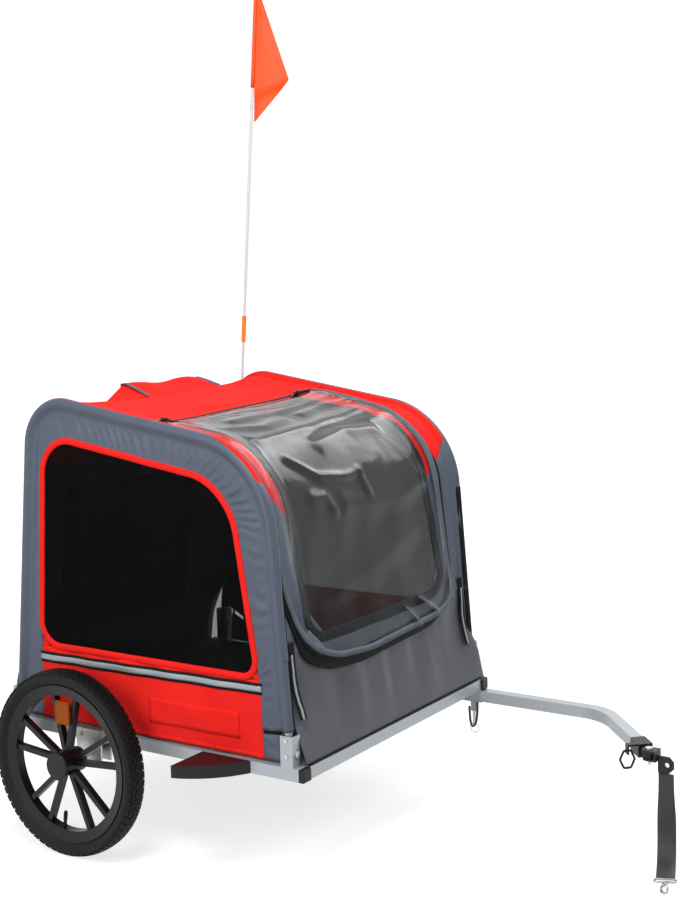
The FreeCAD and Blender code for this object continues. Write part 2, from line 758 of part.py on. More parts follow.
def lower_panel_zone(side, gap):
    y = side * RAIL_Y
    top = WINDOW_SILL - PIPING_W - gap
    return block(-RED_REAR - gap, RED_FRONT + gap, y - RAIL, y + RAIL, 0, top + 2 * gap)


def side_cover(side):
    """Border of the wall with the sleeve that holds the hoop."""
    edges = open_path(hoop_points(side, bracket_top(side) + NOTCH_GAP), HOOP_RADII)
    tunnel = sweep(edges, SLEEVE_R - SLEEVE_T)
    sleeve = sweep(edges, SLEEVE_R)
    window = side_slab(window_outline(side, PIPING_W + SEAM_GAP), side, RAIL)
    sheet = side_wall_sheet(side).cut(window).cut(lower_panel_zone(side, SEAM_GAP))
    return joined([sleeve, sheet]).cut(tunnel)


def lower_panel(side):
    window = side_slab(window_outline(side, PIPING_W + SEAM_GAP), side, RAIL)
    return side_wall_sheet(side).common(lower_panel_zone(side, 0.0)).cut(window)


def window_mesh(side):
    return side_slab(window_outline(side, -SEAM_GAP), side, MESH_T)


def window_piping(side):
    ring = side_slab(window_outline(side, PIPING_W), side, PIPING_T)
    return ring.cut(side_slab(window_outline(side, 0.0), side, RAIL))


# Roof, ends and front door

def roof_drop(y):
    """How far the roof sags below the hoops at a distance from the middle."""
    return ROOF_SAG * (1 - (y / COVER_HALF) ** 2)


def cover_points(y):
    """Hem, two top corners and hem of the cover's section at one place across the trailer."""
    top = COVER_TOP - roof_drop(y)
    fall = slope(ROOF_SLOPE)
    rear_lean = slope(COVER_LEAN_REAR)
    front_lean = slope(COVER_LEAN_FRONT)
    rear_top = (COVER_REAR + rear_lean * (top - COVER_HEM)) / (1 + rear_lean * fall)
    front_top = (COVER_FRONT - front_lean * (top - COVER_HEM)) / (1 - front_lean * fall)
    return [V(COVER_REAR, y, COVER_HEM), V(rear_top, y, top - fall * rear_top),
            V(front_top, y, top - fall * front_top), V(COVER_FRONT, y, COVER_HEM)]


COVER_RADII = [COVER_CORNER_REAR, COVER_CORNER_FRONT]
COVER_STATIONS = (-1.0, -0.5, 0.0, 0.5, 1.0)


def cover_shell(inward, outward):
    """Sheet over the whole trailer between two distances from the cover's line."""
    sections = []
    for share in COVER_STATIONS:
        points = cover_points(share * COVER_HALF)
        sections.append(band(points, COVER_RADII, Y_AXIS * -1, -inward, outward))
    return Part.makeLoft(sections, True, False)


def zone(x0, x1, half_width, z0, z1):
    return block(x0, x1, -half_width, half_width, z0, z1)


FAR = 2000.0


def roof_panel():
    return cover_shell(FABRIC_T, 0.0).common(zone(-FAR, ZIP_X - SEAM_GAP, FAR, REAR_SEAM_Z, FAR))


def rear_window_zone(grow):
    return zone(-FAR, 0, REAR_WINDOW_W / 2 + grow, REAR_WINDOW_SILL - grow, REAR_WINDOW_HEAD + grow)


def rear_panel():
    wall = cover_shell(FABRIC_T, 0.0).common(zone(-FAR, 0, FAR, 0, REAR_SEAM_Z - SEAM_GAP))
    return wall.cut(rear_window_zone(0.0))


def rear_mesh():
    return cover_shell(MESH_T, 0.0).common(rear_window_zone(-SEAM_GAP))


def door_zone(grow):
    return zone(ZIP_X - grow, FAR, DOOR_W / 2 + grow, DOOR_SILL - grow, FAR)


def front_gussets():
    """Strips of the cover beside the door, from the hoops to its zip."""
    ahead = zone(ZIP_X + SEAM_GAP, FAR, FAR, DOOR_SILL, FAR)
    return cover_shell(FABRIC_T, 0.0).common(ahead).cut(door_zone(SEAM_GAP))


def front_mesh():
    return cover_shell(MESH_T, 0.0).common(door_zone(-SEAM_GAP))


def rain_cover():
    """Clear sheet that lies over the door and hangs past its sill."""
    lifted = cover_shell(-RAIN_LIFT, RAIN_LIFT + RAIN_T)
    return lifted.common(zone(ZIP_X + SEAM_GAP, FAR, RAIN_W / 2, RAIN_SILL, FAR))


def fold_section(z, depth):
    """Thin strip across the front wall at one height, with its soft vertical folds."""
    x = COVER_FRONT - slope(COVER_LEAN_FRONT) * (z - COVER_HEM)
    step = 2 * COVER_HALF / FOLD_COUNT
    front = []
    back = []
    for i in range(FOLD_COUNT):
        y0 = -COVER_HALF + i * step
        swell = -depth if i % 2 else -depth / 4
        start, middle, end = V(x, y0, z), V(x + swell, y0 + step / 2, z), V(x, y0 + step, z)
        behind = V(-FABRIC_T, 0, 0)
        front.append(Part.Arc(start, middle, end).toShape())
        back.append(Part.Arc(end + behind, middle + behind, start + behind).toShape())
    turn = Part.LineSegment(V(x, COVER_HALF, z), V(x - FABRIC_T, COVER_HALF, z)).toShape()
    close = Part.LineSegment(V(x - FABRIC_T, -COVER_HALF, z), V(x, -COVER_HALF, z)).toShape()
    return Part.Wire(front + [turn] + back[::-1] + [close])


def front_panel():
    """Lower front wall; its folds are deepest at mid height."""
    top = DOOR_SILL - SEAM_GAP
    height = top - COVER_HEM
    depths = (0.15, 0.7, 1.0, 0.2)
    sections = []
    for i, share in enumerate(depths):
        sections.append(fold_section(COVER_HEM + height * i / (len(depths) - 1), FOLD_DEPTH * share))
    return Part.makeLoft(sections, True, True)


def roof_flap_roll():
    """Rear window's flap, folded up at the back of the roof."""
    ends = []
    for share, size in ((-0.5, 0.8), (-0.3, 1.0), (0.1, 0.92), (0.4, 1.0), (0.5, 0.85)):
        y = ROLL_Y + share * ROLL_L
        half = ROLL_W / 2 * size
        base = COVER_TOP - roof_drop(y) - slope(ROOF_SLOPE) * ROLL_X
        left = V(ROLL_X - half, y, base)
        right = V(ROLL_X + half, y, base)
        crown = V(ROLL_X, y, base + ROLL_H * size)
        keel = V(ROLL_X, y, base - ROLL_H / 2)
        ends.append(Part.Wire([Part.Arc(left, crown, right).toShape(), Part.Arc(right, keel, left).toShape()]))
    roll = Part.makeLoft(ends, True, False)
    return roll.cut(cover_shell(ROLL_H * 2, SEAM_GAP))


# Drawbar and hitch

def bar_path():
    start = V(BAR_PIVOT_X, RAIL_Y, 0)
    bend = V(BAR_BEND_X, RAIL_Y, 0)
    return [start, bend, V(ARM_END.x, ARM_END.y, 0)]


def drawbar_tube():
    """Square tube, round at the pivot, bent once towards the bicycle."""
    half = BAR / 2
    hollow = half - BAR_WALL
    outer = Part.Face(band(bar_path(), [BAR_BEND_R], Z_AXIS, -half, half))
    inner = Part.Face(band(bar_path(), [BAR_BEND_R], Z_AXIS, -hollow, hollow))
    body = moved(outer, V(0, 0, BAR_BOTTOM)).extrude(V(0, 0, BAR))
    room = moved(inner, V(0, 0, BAR_BOTTOM + BAR_WALL)).extrude(V(0, 0, BAR - 2 * BAR_WALL))
    tail = rod(V(BAR_PIVOT_X, RAIL_Y, BAR_BOTTOM), Z_AXIS, BAR, half)
    body = body.cut(room).fuse(tail).removeSplitter()
    body = body.cut(rod(V(BAR_PIVOT_X, RAIL_Y, 0), Z_AXIS, FAR, BAR_BOLT_D / 2 + RUNNING_GAP))
    return body.cut(rod(V(PIN_X, RAIL_Y, 0), Z_AXIS, FAR, PIN_D / 2 + FIT_GAP))


def drawbar_bracket():
    """Channel under the left rail, open to the inside, with a guide for the lock pin."""
    rear = BAR_PIVOT_X - BAR / 2 - BAR_GAP
    web = RAIL_Y + BAR / 2 + BAR_GAP
    inner = RAIL_INNER
    outer = web + BAR_BRACKET_T
    shell = block(rear, BAR_BRACKET_FRONT, inner, outer, BRACKET_BOTTOM, RAIL_Z)
    room = block(rear, BAR_BRACKET_FRONT, inner, web, BRACKET_BOTTOM + BAR_BRACKET_T, RAIL_Z - BAR_BRACKET_T)
    guide = rod(V(PIN_X, RAIL_Y, BRACKET_BOTTOM - PIN_GUIDE_L), Z_AXIS, PIN_GUIDE_L, PIN_GUIDE_D / 2)
    body = shell.cut(room).fuse(guide).removeSplitter()
    body = body.cut(rod(V(BAR_PIVOT_X, RAIL_Y, 0), Z_AXIS, FAR, BAR_BOLT_D / 2))
    return body.cut(rod(V(PIN_X, RAIL_Y, 0), Z_AXIS, RAIL_Z - BAR_BRACKET_T, PIN_D / 2 + RUNNING_GAP))


def drawbar_pivot_bolt():
    start = V(BAR_PIVOT_X, RAIL_Y, BRACKET_BOTTOM)
    shank = rod(start, Z_AXIS, RAIL_Z - BRACKET_BOTTOM, BAR_BOLT_D / 2)
    head = rod(start, Z_AXIS * -1, BAR_BOLT_HEAD_T, BAR_BOLT_HEAD_D / 2)
    return joined([shank, head])


def lock_pin():
    """Plunger with its pull ring, drawn down clear of the bar."""
    top = BRACKET_BOTTOM + BAR_BRACKET_T
    bottom = top - PIN_L
    shank = rod(V(PIN_X, RAIL_Y, bottom), Z_AXIS, PIN_L, PIN_D / 2)
    eye_z = bottom + PIN_D / 2 + 1.0
    hole = rod(V(PIN_X - PIN_D, RAIL_Y, eye_z - PIN_EYE_DROP), X_AXIS, 2 * PIN_D, PIN_EYE_D / 2)
    ring = Part.makeTorus(PIN_RING_R, PIN_RING_WIRE / 2, V(PIN_X, RAIL_Y, eye_z - PIN_RING_R), Y_AXIS)
    return Part.makeCompound([shank.cut(hole), ring])


def lanyard_points():
    """Loop of cord under the bracket, hung from its inner edge ahead of the pin guide."""
    x = PIN_X + PIN_GUIDE_D / 2 + 4.0
    y = RAIL_INNER + LANYARD_D
    top = BRACKET_BOTTOM
    steps = ((0, 0), (-1, -18), (-4, -36), (-12, -51), (-26, -52), (-34, -37), (-36, -18), (-37, 0))
    return [V(x + 2, y + step, top + drop) for step, drop in steps]


def pin_lanyard():
    points = lanyard_points()
    radii = cord_radii(points)
    print("lanyard radii", [round(r, 1) for r in radii])
    return sweep(open_path(points, radii), LANYARD_D / 2)


def arm_block(s0, s1, half, z0, z1):
    """Box along the drawbar's arm; s is measured from the arm's end."""
    box = block(s0, s1, -half, half, z0, z1)
    return moved(turned(box, -BAR_BEND_ANGLE), V(ARM_END.x, ARM_END.y, 0))


def hitch_socket():
    """Moulded block on the arm's end with a tongue for the coupling and a lug for the bail."""
    low = BAR_Z - SOCKET_H / 2
    high = BAR_Z + SOCKET_H / 2
    body = arm_block(-SOCKET_LAP, SOCKET_L, SOCKET_W / 2, low, high)
    half = BAR / 2
    room = arm_block(-SOCKET_LAP, 0, half, BAR_Z - half, BAR_Z + half)
    tongue = arm_block(SOCKET_L, HITCH_PIN_S, TONGUE_R, BAR_Z - TONGUE_H / 2, BAR_Z + TONGUE_H / 2)
    nose = rod(HITCH_PIVOT - Z_AXIS * (TONGUE_H / 2), Z_AXIS, TONGUE_H, TONGUE_R)
    body = joined([body, tongue, nose, bail_lug()]).cut(room)
    return body.cut(rod(HITCH_PIVOT - Z_AXIS * FAR, Z_AXIS, 2 * FAR, HITCH_PIN_D / 2))


def arm_point(s, across, z):
    """A point by its distance past the arm's end, to the left of the arm, and height."""
    return ARM_END + ARM_ALONG * s + Z_AXIS.cross(ARM_ALONG) * across + Z_AXIS * (z - ARM_END.z)


def bail_hinge():
    return arm_point(BAIL_S, -BAIL_OUT, BAR_Z)


def bail_lug():
    """Bracket beside the block: an arm along its top and a plate with the bail's hole."""
    half = BAIL_LUG_W / 2
    top = BAR_Z + SOCKET_H / 2
    shapes = []
    for inner, outer, low in ((SOCKET_W / 2 - 1.0, BAIL_OUT + BAIL_LUG_T / 2, top - BAIL_LUG_T),
                              (BAIL_OUT - BAIL_LUG_T / 2, BAIL_OUT + BAIL_LUG_T / 2, BAR_Z - half)):
        box = block(BAIL_S - half, BAIL_S + half, -outer, -inner, low, top)
        shapes.append(moved(turned(box, -BAR_BEND_ANGLE), V(ARM_END.x, ARM_END.y, 0)))
    left = Z_AXIS.cross(ARM_ALONG)
    hole = rod(bail_hinge() - left * BAIL_LUG_T, left, 2 * BAIL_LUG_T, BAIL_WIRE / 2 + BAIL_GAP)
    return joined(shapes).cut(hole)


def hitch_bail():
    """Six-sided wire bail that hangs in the lug."""
    half = BAIL_W / 2
    flat = half * 0.48
    outline = [(-flat, 0), (flat, 0), (half, -BAIL_H / 2), (flat, -BAIL_H), (-flat, -BAIL_H), (-half, -BAIL_H / 2)]
    corners = [arm_point(BAIL_S, -BAIL_OUT + a, BAR_Z + z) for a, z in outline]
    return sweep_ring(corners, [BAIL_WIRE] * len(corners), BAIL_WIRE / 2)


def clevis_faces():
    """Heights of the clevis plates: bottom and top of the lower one, then of the upper one."""
    reach = TONGUE_H / 2 + CLEVIS_GAP
    return BAR_Z - reach - CLEVIS_T, BAR_Z - reach, BAR_Z + reach, BAR_Z + reach + CLEVIS_T


def coupling_plate():
    """Clevis on the hitch pin with an upright plate that goes on the bicycle's axle."""
    low, low_top, high_bottom, high = clevis_faces()
    x, y = HITCH_PIVOT.x, HITCH_PIVOT.y
    pieces = []
    for z in (low, high_bottom):
        pieces.append(rod(V(x, y, z), Z_AXIS, CLEVIS_T, CLEVIS_R))
        pieces.append(block(x, x + CLEVIS_WEB_X, y - CLEVIS_R, y + CLEVIS_R, z, z + CLEVIS_T))
    web_end = x + CLEVIS_WEB_X + CLEVIS_WEB_T
    pieces.append(block(x + CLEVIS_WEB_X, web_end, y - CLEVIS_R, y + CLEVIS_R, low, high))
    z0 = PLATE_Z - PLATE_H / 2
    z1 = PLATE_Z + PLATE_H / 2
    cut = PLATE_CHAMFER
    outline = [(web_end, z0), (PLATE_FRONT - cut, z0), (PLATE_FRONT, z0 + cut), (PLATE_FRONT, z1 - cut),
               (PLATE_FRONT - cut, z1), (web_end, z1)]
    points = [V(px, y - PLATE_T / 2, pz) for px, pz in outline]
    pieces.append(Part.Face(Part.makePolygon(points + points[:1])).extrude(V(0, PLATE_T, 0)))
    body = joined(pieces)
    body = body.cut(rod(plate_hole() - Y_AXIS * PLATE_T, Y_AXIS, 2 * PLATE_T, PLATE_HOLE_D / 2))
    return body.cut(rod(HITCH_PIVOT - Z_AXIS * FAR, Z_AXIS, 2 * FAR, HITCH_PIN_D / 2 + RUNNING_GAP))


def plate_hole():
    """Centre of the hole for the bicycle's axle."""
    return V(PLATE_FRONT - PLATE_L * 0.42, HITCH_PIVOT.y, PLATE_Z)


def hitch_pin():
    """Headed pin through the tongue and clevis."""
    low, _, _, high = clevis_faces()
    start = V(HITCH_PIVOT.x, HITCH_PIVOT.y, low - HITCH_PIN_TIP)
    shank = rod(start, Z_AXIS, high - low + HITCH_PIN_TIP, HITCH_PIN_D / 2)
    head = rod(V(HITCH_PIVOT.x, HITCH_PIVOT.y, high), Z_AXIS, HITCH_PIN_HEAD_T, HITCH_PIN_HEAD_D / 2)
    return joined([shank, head])


# Safety strap

def strap_frame():
    """Exit of the strap, the way its end points along the floor, and the way across it."""
    turn = math.radians(STRAP_TURN)
    ahead = V(math.cos(turn), math.sin(turn), 0)
    exit_point = V(HITCH_PIVOT.x + STRAP_EXIT, HITCH_PIVOT.y, 0)
    return exit_point, ahead, Z_AXIS.cross(ahead)


def strap_points():
    exit_point, ahead, _ = strap_frame()
    return [exit_point + ahead * s + Z_AXIS * z for s, z in STRAP_ROUTE]


def safety_strap():
    """Webbing that hangs from the coupling to the floor, where its end lies."""
    _, _, across = strap_frame()
    points = strap_points()
    radii = cord_radii(points)
    print("strap radii", [round(r, 1) for r in radii])
    half = STRAP_T / 2
    strip = Part.Face(band(points, radii, across, -half, half))
    return moved(strip, across * (-STRAP_W / 2)).extrude(across * STRAP_W)


def on_floor(points, height):
    """Points given along and across the strap's end, laid on the floor beyond it."""
    exit_point, ahead, across = strap_frame()
    start = exit_point + ahead * STRAP_ROUTE[-1][0]
    return [start + ahead * s + across * a + Z_AXIS * height for s, a in points]


def strap_loop():
    """Flat wire loop that the strap's end is sewn round."""
    wire = LOOP_WIRE / 2
    near = FIT_GAP + wire
    far = near + LOOP_L - LOOP_WIRE
    half = (LOOP_W - LOOP_WIRE) / 2
    corners = on_floor([(near, -half), (far, -half), (far, half), (near, half)], wire)
    return sweep_ring(corners, [LOOP_WIRE] * 4, wire)


def sweep_ring(corners, radii, radius):
    """Round bar along a closed rounded outline."""
    path = closed_path(corners, radii)
    edge = path.Edges[1]
    circle = Part.Wire([Part.makeCircle(radius, edge.valueAt(edge.FirstParameter), edge.tangentAt(0))])
    ordered = Part.Wire(path.Edges[1:] + path.Edges[:1])
    return ordered.makePipeShell([circle], True, False)


def hook_start():
    return FIT_GAP + LOOP_L + FIT_GAP


def snap_hook():
    """Bent hook with the eye that hangs in the loop; its mouth is closed by the gate."""
    wire = HOOK_WIRE / 2
    base = hook_start() + HOOK_EYE_R * 2
    half = HOOK_W / 2 - wire
    end = base + HOOK_L - wire
    back = end - HOOK_NOSE_L
    inner = half - HOOK_NOSE_IN
    route = on_floor([(base, 0), (base + 9, -half), (back, -half), (end, -inner), (end, inner), (back, half)], wire)
    bend = sweep(open_path(route, [7.0, 6.0, 4.5, 4.5]), wire)
    collar = on_floor([(base, 0)], wire)[0]
    _, ahead, _ = strap_frame()
    neck = rod(collar - ahead * HOOK_EYE_R, ahead, HOOK_EYE_R + 3.0, wire)
    eye_centre = on_floor([(hook_start() + HOOK_EYE_R, 0)], wire)[0]
    eye = Part.makeTorus(HOOK_EYE_R - wire, wire, eye_centre, Z_AXIS)
    return joined([bend, neck, eye])


def gate_hinge():
    return on_floor([(hook_start() + HOOK_EYE_R * 2 + 11, HOOK_W / 2 - HOOK_WIRE / 2)], HOOK_WIRE / 2)[0]


def hook_gate():
    """Sprung gate from the hook's neck to its nose."""
    wire = HOOK_WIRE / 2
    slant = wire * HOOK_NOSE_IN / math.hypot(HOOK_NOSE_L, HOOK_NOSE_IN)
    tip = hook_start() + HOOK_EYE_R * 2 + HOOK_L - wire - HOOK_NOSE_L
    nose = on_floor([(tip - slant - GATE_GAP, HOOK_W / 2 - wire)], wire)[0]
    start = gate_hinge()
    return rod(start, (nose - start).normalize(), (nose - start).Length, wire * 0.8)


# Flag

def pole_point(z):
    y = FRAME_W / 2 + POLE_D / 2 + POLE_SIDE_GAP
    return V(POLE_BASE_X + (z - POLE_FOOT_Z) * slope(POLE_LEAN), y, z)


def pole_along():
    return (pole_point(POLE_TOP_Z) - pole_point(POLE_FOOT_Z)).normalize()


def pole_section(z0, z1):
    start = pole_point(z0)
    return rod(start, pole_along(), (pole_point(z1) - start).Length, POLE_D / 2)


def ferrule():
    """Sleeve over the joint of the two pole sections."""
    middle = pole_point(POLE_JOINT_Z)
    start = middle - pole_along() * (FERRULE_L / 2)
    body = rod(start, pole_along(), FERRULE_L, FERRULE_D / 2)
    return body.cut(rod(start, pole_along(), FERRULE_L, POLE_D / 2))


def flag_holder():
    """Block on the rail's outer face with a socket for the pole's foot."""
    foot = pole_point(POLE_FOOT_Z)
    face = FRAME_W / 2
    half = HOLDER_W / 2
    outer = foot.y + POLE_D / 2 + 4.0
    body = block(foot.x - half, foot.x + half, face, outer, RAIL_Z, RAIL_Z + HOLDER_H)
    return body.cut(rod(foot, pole_along(), FAR, POLE_D / 2 + HOLDER_GAP))


def flag_point(fly, drop, back):
    """A point of the flag, by its distance from the pole, below the top and behind the flag's plane."""
    turn = math.radians(FLAG_TURN)
    out = V(math.cos(turn), math.sin(turn), 0)
    behind = V(-math.sin(turn), math.cos(turn), 0)
    return pole_point(POLE_TOP_Z - drop) + out * fly + behind * back


def leaf(corners):
    """Thin flat piece through points that lie in one plane."""
    points = [flag_point(*corner) for corner in corners]
    normal = (points[1] - points[0]).cross(points[2] - points[0]).normalize()
    face = Part.Face(Part.makePolygon(points + points[:1]))
    return moved(face, normal * (-FLAG_T / 2)).extrude(normal * FLAG_T)


def flag():
    """Limp pennant sewn round the pole: its fly has folded back along a crease and hangs."""
    bore = POLE_D / 2 + FLAG_GAP
    low = pole_point(POLE_TOP_Z - FLAG_HOIST)
    hem = rod(low, pole_along(), (pole_point(POLE_TOP_Z) - low).Length, bore + FLAG_T)
    near = bore + FLAG_T / 2
    upper = leaf([(near, 0, 0), (FLAG_FLY, FLAG_FLY_DROP, 0), (near, FLAG_HOIST, 0)])
    lower = leaf([(FLAG_FLY, FLAG_FLY_DROP, 0), (near, FLAG_HOIST, 0), (FLAG_TIP, FLAG_TIP_DROP, FLAG_BACK)])
    body = joined([hem, upper, lower])
    return body.cut(rod(low, pole_along(), FAR, bore))


def build():
    rear_rail = -FRAME_REAR + CROSS_INSET + RAIL / 2
    front_rail = FRAME_FRONT - CROSS_INSET - RAIL / 2
    sides = (RIGHT, LEFT)
    ends = (False, True)
    parts = {
        "front_cross_rail": cross_rail(front_rail),
        "rear_cross_rail": cross_rail(rear_rail),
        "middle_cross_rails": Part.makeCompound([cross_rail(x) for x in MIDDLE_RAILS]),
        "rail_end_plugs": rail_end_plugs(),
        "floor_panel": floor_panel(),
        "hinge_brackets": Part.makeCompound([hinge_bracket(s, e) for s in sides for e in ends]),
        "hinge_pins": Part.makeCompound([hinge_pin(s, e) for s in sides for e in ends]),
        "frame_fasteners": frame_fasteners(),
        "axle_brackets": Part.makeCompound([axle_bracket(s) for s in sides]),
        "axles": Part.makeCompound([axle(s) for s in sides]),
        "axle_latches": Part.makeCompound([axle_latch(s) for s in sides]),
        "wheel_guards": Part.makeCompound([wheel_guard(s) for s in sides]),
        "roof_panel": roof_panel(),
        "roof_flap_roll": roof_flap_roll(),
        "rear_panel": rear_panel(),
        "rear_mesh": rear_mesh(),
        "front_gussets": front_gussets(),
        "front_panel": front_panel(),
        "front_mesh": front_mesh(),
        "rain_cover": rain_cover(),
        "drawbar_bracket": drawbar_bracket(),
        "drawbar_pivot_bolt": drawbar_pivot_bolt(),
        "drawbar_tube": drawbar_tube(),
        "lock_pin": lock_pin(),
        "pin_lanyard": pin_lanyard(),
        "hitch_socket": hitch_socket(),
        "hitch_pin": hitch_pin(),
        "hitch_bail": hitch_bail(),
        "coupling_plate": coupling_plate(),
        "safety_strap": safety_strap(),
        "strap_loop": strap_loop(),
        "snap_hook": snap_hook(),
        "hook_gate": hook_gate(),
        "flag_holder": flag_holder(),
        "flag_pole_lower": pole_section(POLE_FOOT_Z, POLE_JOINT_Z),
        "flag_pole_upper": pole_section(POLE_JOINT_Z, POLE_TOP_Z),
        "flag_ferrule": ferrule(),
        "flag": flag(),
    }
    per_side = {"side_rail": side_rail, "hoop": hoop, "side_cover": side_cover, "lower_panel": lower_panel,
                "window_mesh": window_mesh, "window_piping": window_piping, "tyre": tyre, "rim": rim,
                "bearings": bearings, "hub_cap": hub_cap, "reflector": reflector}
    for side in sides:
        for name, make in per_side.items():
            parts[f"{SIDE_NAMES[side]}_{name}"] = make(side)
    return {name: moved(shape, V(-ORIGIN_X, 0, 0)) for name, shape in parts.items()}


def main():
    os.makedirs("parts", exist_ok=True)
    for name, shape in build().items():
        shape.exportStep(os.path.join("parts", name + ".step"))
        print(name, len(shape.Solids), shape.isValid(), round(shape.Volume))


if __name__ == "__main__":
    main()
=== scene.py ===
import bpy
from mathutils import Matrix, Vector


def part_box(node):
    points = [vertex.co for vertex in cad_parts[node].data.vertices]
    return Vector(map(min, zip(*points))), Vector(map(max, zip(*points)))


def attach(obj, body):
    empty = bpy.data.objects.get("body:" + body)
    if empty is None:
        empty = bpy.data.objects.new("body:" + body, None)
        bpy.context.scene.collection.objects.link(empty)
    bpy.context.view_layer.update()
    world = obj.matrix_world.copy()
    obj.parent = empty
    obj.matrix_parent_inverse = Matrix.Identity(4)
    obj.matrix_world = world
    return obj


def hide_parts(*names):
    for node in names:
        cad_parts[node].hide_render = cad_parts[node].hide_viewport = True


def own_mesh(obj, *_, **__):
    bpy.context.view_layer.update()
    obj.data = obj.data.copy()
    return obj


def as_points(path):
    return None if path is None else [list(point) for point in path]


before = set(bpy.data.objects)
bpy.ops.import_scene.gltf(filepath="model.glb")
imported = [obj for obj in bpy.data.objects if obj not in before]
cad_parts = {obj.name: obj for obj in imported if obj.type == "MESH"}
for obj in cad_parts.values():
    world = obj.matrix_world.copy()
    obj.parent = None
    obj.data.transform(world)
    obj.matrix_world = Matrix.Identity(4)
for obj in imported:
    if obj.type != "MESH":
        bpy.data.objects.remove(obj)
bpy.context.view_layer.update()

import math
from bisect import bisect_right
from functools import lru_cache

import bmesh
import bpy
from bpy.props import FloatProperty, FloatVectorProperty, IntProperty, PointerProperty
from mathutils import Matrix, Vector, noise

bl_info = {
    "name": "Dog Trailer Dressing",
    "version": (1, 0, 0),
    "blender": (4, 5, 0),
    "location": "View3D > Sidebar > Trailer",
    "description": "Dresses the solids of a folding dog trailer with its cloth, tyres, strap and flag",
    "category": "Object",
}

# Sizes below are in millimetres: x from the axle, y from the middle, z from the ground, as in the part's source.
AXLE_X = (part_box("right_tyre")[0][0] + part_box("right_tyre")[1][0]) * 500
SIDES = {"right": -1, "left": 1}
HOOP_Y = 343.5
COVER_HALF = 333.2
BRACKET_TOP = {"right": 313.0, "left": 334.6}
FALL = math.tan(math.radians(8.64))
HOOP_TOP, HOOP_PIVOT, WALL_FOOT = 935.5, 287, 255
SLEEVE, ROOF_OVER_SLEEVE, ZIP_OVER_SLEEVE = 10.6, 11.5, 11.7
WHEEL_Y, WHEEL_Z = 419, 197
# The photograph's frame and the camera fitted to it, in pixels, millimetres and degrees
FRAME_WIDE, FRAME_HIGH, FOCAL, CENTRE_X, CENTRE_Y = 680, 909, 1504, 425.1, 376.0
CAMERA_PLACE, CAMERA_TURN, CAMERA_TILT, CAMERA_ROLL = (2286, -2601, 1249), 32.29, 4.9, -1.56
SENSOR = 36


def at(x, y, z):
    """A point of the part's source, in the frame's metres."""
    return Vector(((x + AXLE_X) / 1000, y / 1000, z / 1000))


def linear(code):
    """An sRGB hex colour as linear values."""
    parts = [int(code[i:i + 2], 16) / 255 for i in (1, 3, 5)]
    return [p / 12.92 if p <= 0.04045 else ((p + 0.055) / 1.055) ** 2.4 for p in parts]


def colour(name, description, code):
    return FloatVectorProperty(name=name, description=description, subtype="COLOR", size=3, min=0, max=1,
                               default=linear(code))


def size(name, description, millimetres):
    return FloatProperty(name=name, description=description, default=millimetres / 1000, unit="LENGTH")


class TrailerColours(bpy.types.PropertyGroup):
    red: colour("Red cloth", "Roof, lower side panels and window edging", "#EA2722")
    grey: colour("Grey cloth", "Borders of the side walls and sleeves", "#4A5261")
    front_grey: colour("Front cloth", "Lower front and rear walls", "#55575E")
    binding: colour("Binding", "Tape along the edges of the cloth", "#5A6069")
    silver: colour("Frame paint", "Square tubes and hinge brackets", "#A3A9AE")
    flag: colour("Flag", "Pennant and ferrule", "#FB6320")


class TrailerSizes(bpy.types.PropertyGroup):
    cloth: size("Cloth", "Thickness of the cover's cloth", 1.2)
    piping: size("Piping", "Width of the red edging round the side windows", 15)
    stripe: size("Stripe", "Height of the reflective tape on the side", 23)
    strap: size("Strap", "Width of the safety strap", 38)
    strap_thickness: size("Strap thickness", "Thickness of the safety strap", 2)
    lanyard: size("Lanyard", "Diameter of the lock pin's lanyard", 5.5)
    tread_rows: IntProperty(name="Tread rows", description="Rows of blocks round the tyre", default=68, min=12)


# Small tools for meshes

def build(name, shape, material, slot, body="chassis", thickness=0.0, replaced=None, smooth=True):
    """A finished piece from its points and faces, on a body; a sheet with a thickness becomes a thin closed body."""
    points, faces = shape
    mesh = bpy.data.meshes.new(name)
    mesh.from_pydata([tuple(p) for p in points], [], faces)
    if thickness:
        work = bmesh.new()
        work.from_mesh(mesh)
        bmesh.ops.recalc_face_normals(work, faces=work.faces)
        bmesh.ops.solidify(work, geom=work.faces[:], thickness=thickness / 1000)
        bmesh.ops.recalc_face_normals(work, faces=work.faces)
        work.to_mesh(mesh)
        work.free()
    for polygon in mesh.polygons:
        polygon.use_smooth = smooth
    mesh.update()
    mesh.materials.append(material)
    piece = bpy.data.objects.new(name, mesh)
    bpy.context.scene.collection.objects.link(piece)
    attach(piece, body)
    if replaced:
        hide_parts(replaced)
    return folds(piece) if body in SINKING else piece


def join(points, faces, shape):
    """Adds another body's points and faces to a mesh in the making."""
    faces += [tuple(len(points) + i for i in face) for face in shape[1]]
    points += shape[0]


def grid(rows, closed_rows=False, closed_columns=False):
    """Flat list of points and the faces between rows of equal length."""
    high, wide = len(rows), len(rows[0])
    points = [p for row in rows for p in row]
    faces = []
    for i in range(high if closed_rows else high - 1):
        for j in range(wide if closed_columns else wide - 1):
            a, b = i * wide, ((i + 1) % high) * wide
            k = (j + 1) % wide
            faces.append((a + j, a + k, b + k, b + j))
    return points, faces


def capped(rows):
    """A tube through closed rings, with flat ends."""
    points, faces = grid(rows, closed_columns=True)
    wide = len(rows[0])
    faces.append(tuple(range(wide))[::-1])
    faces.append(tuple(len(points) - wide + j for j in range(wide)))
    return points, faces


def ring(count):
    """Angles of a full turn in equal steps."""
    return [2 * math.pi * k / count for k in range(count)]


def span(low, high, count):
    return [low + (high - low) * k / (count - 1) for k in range(count)]


def ease(low, high, value):
    t = min(max((value - low) / (high - low), 0.0), 1.0)
    return t * t * (3 - 2 * t)


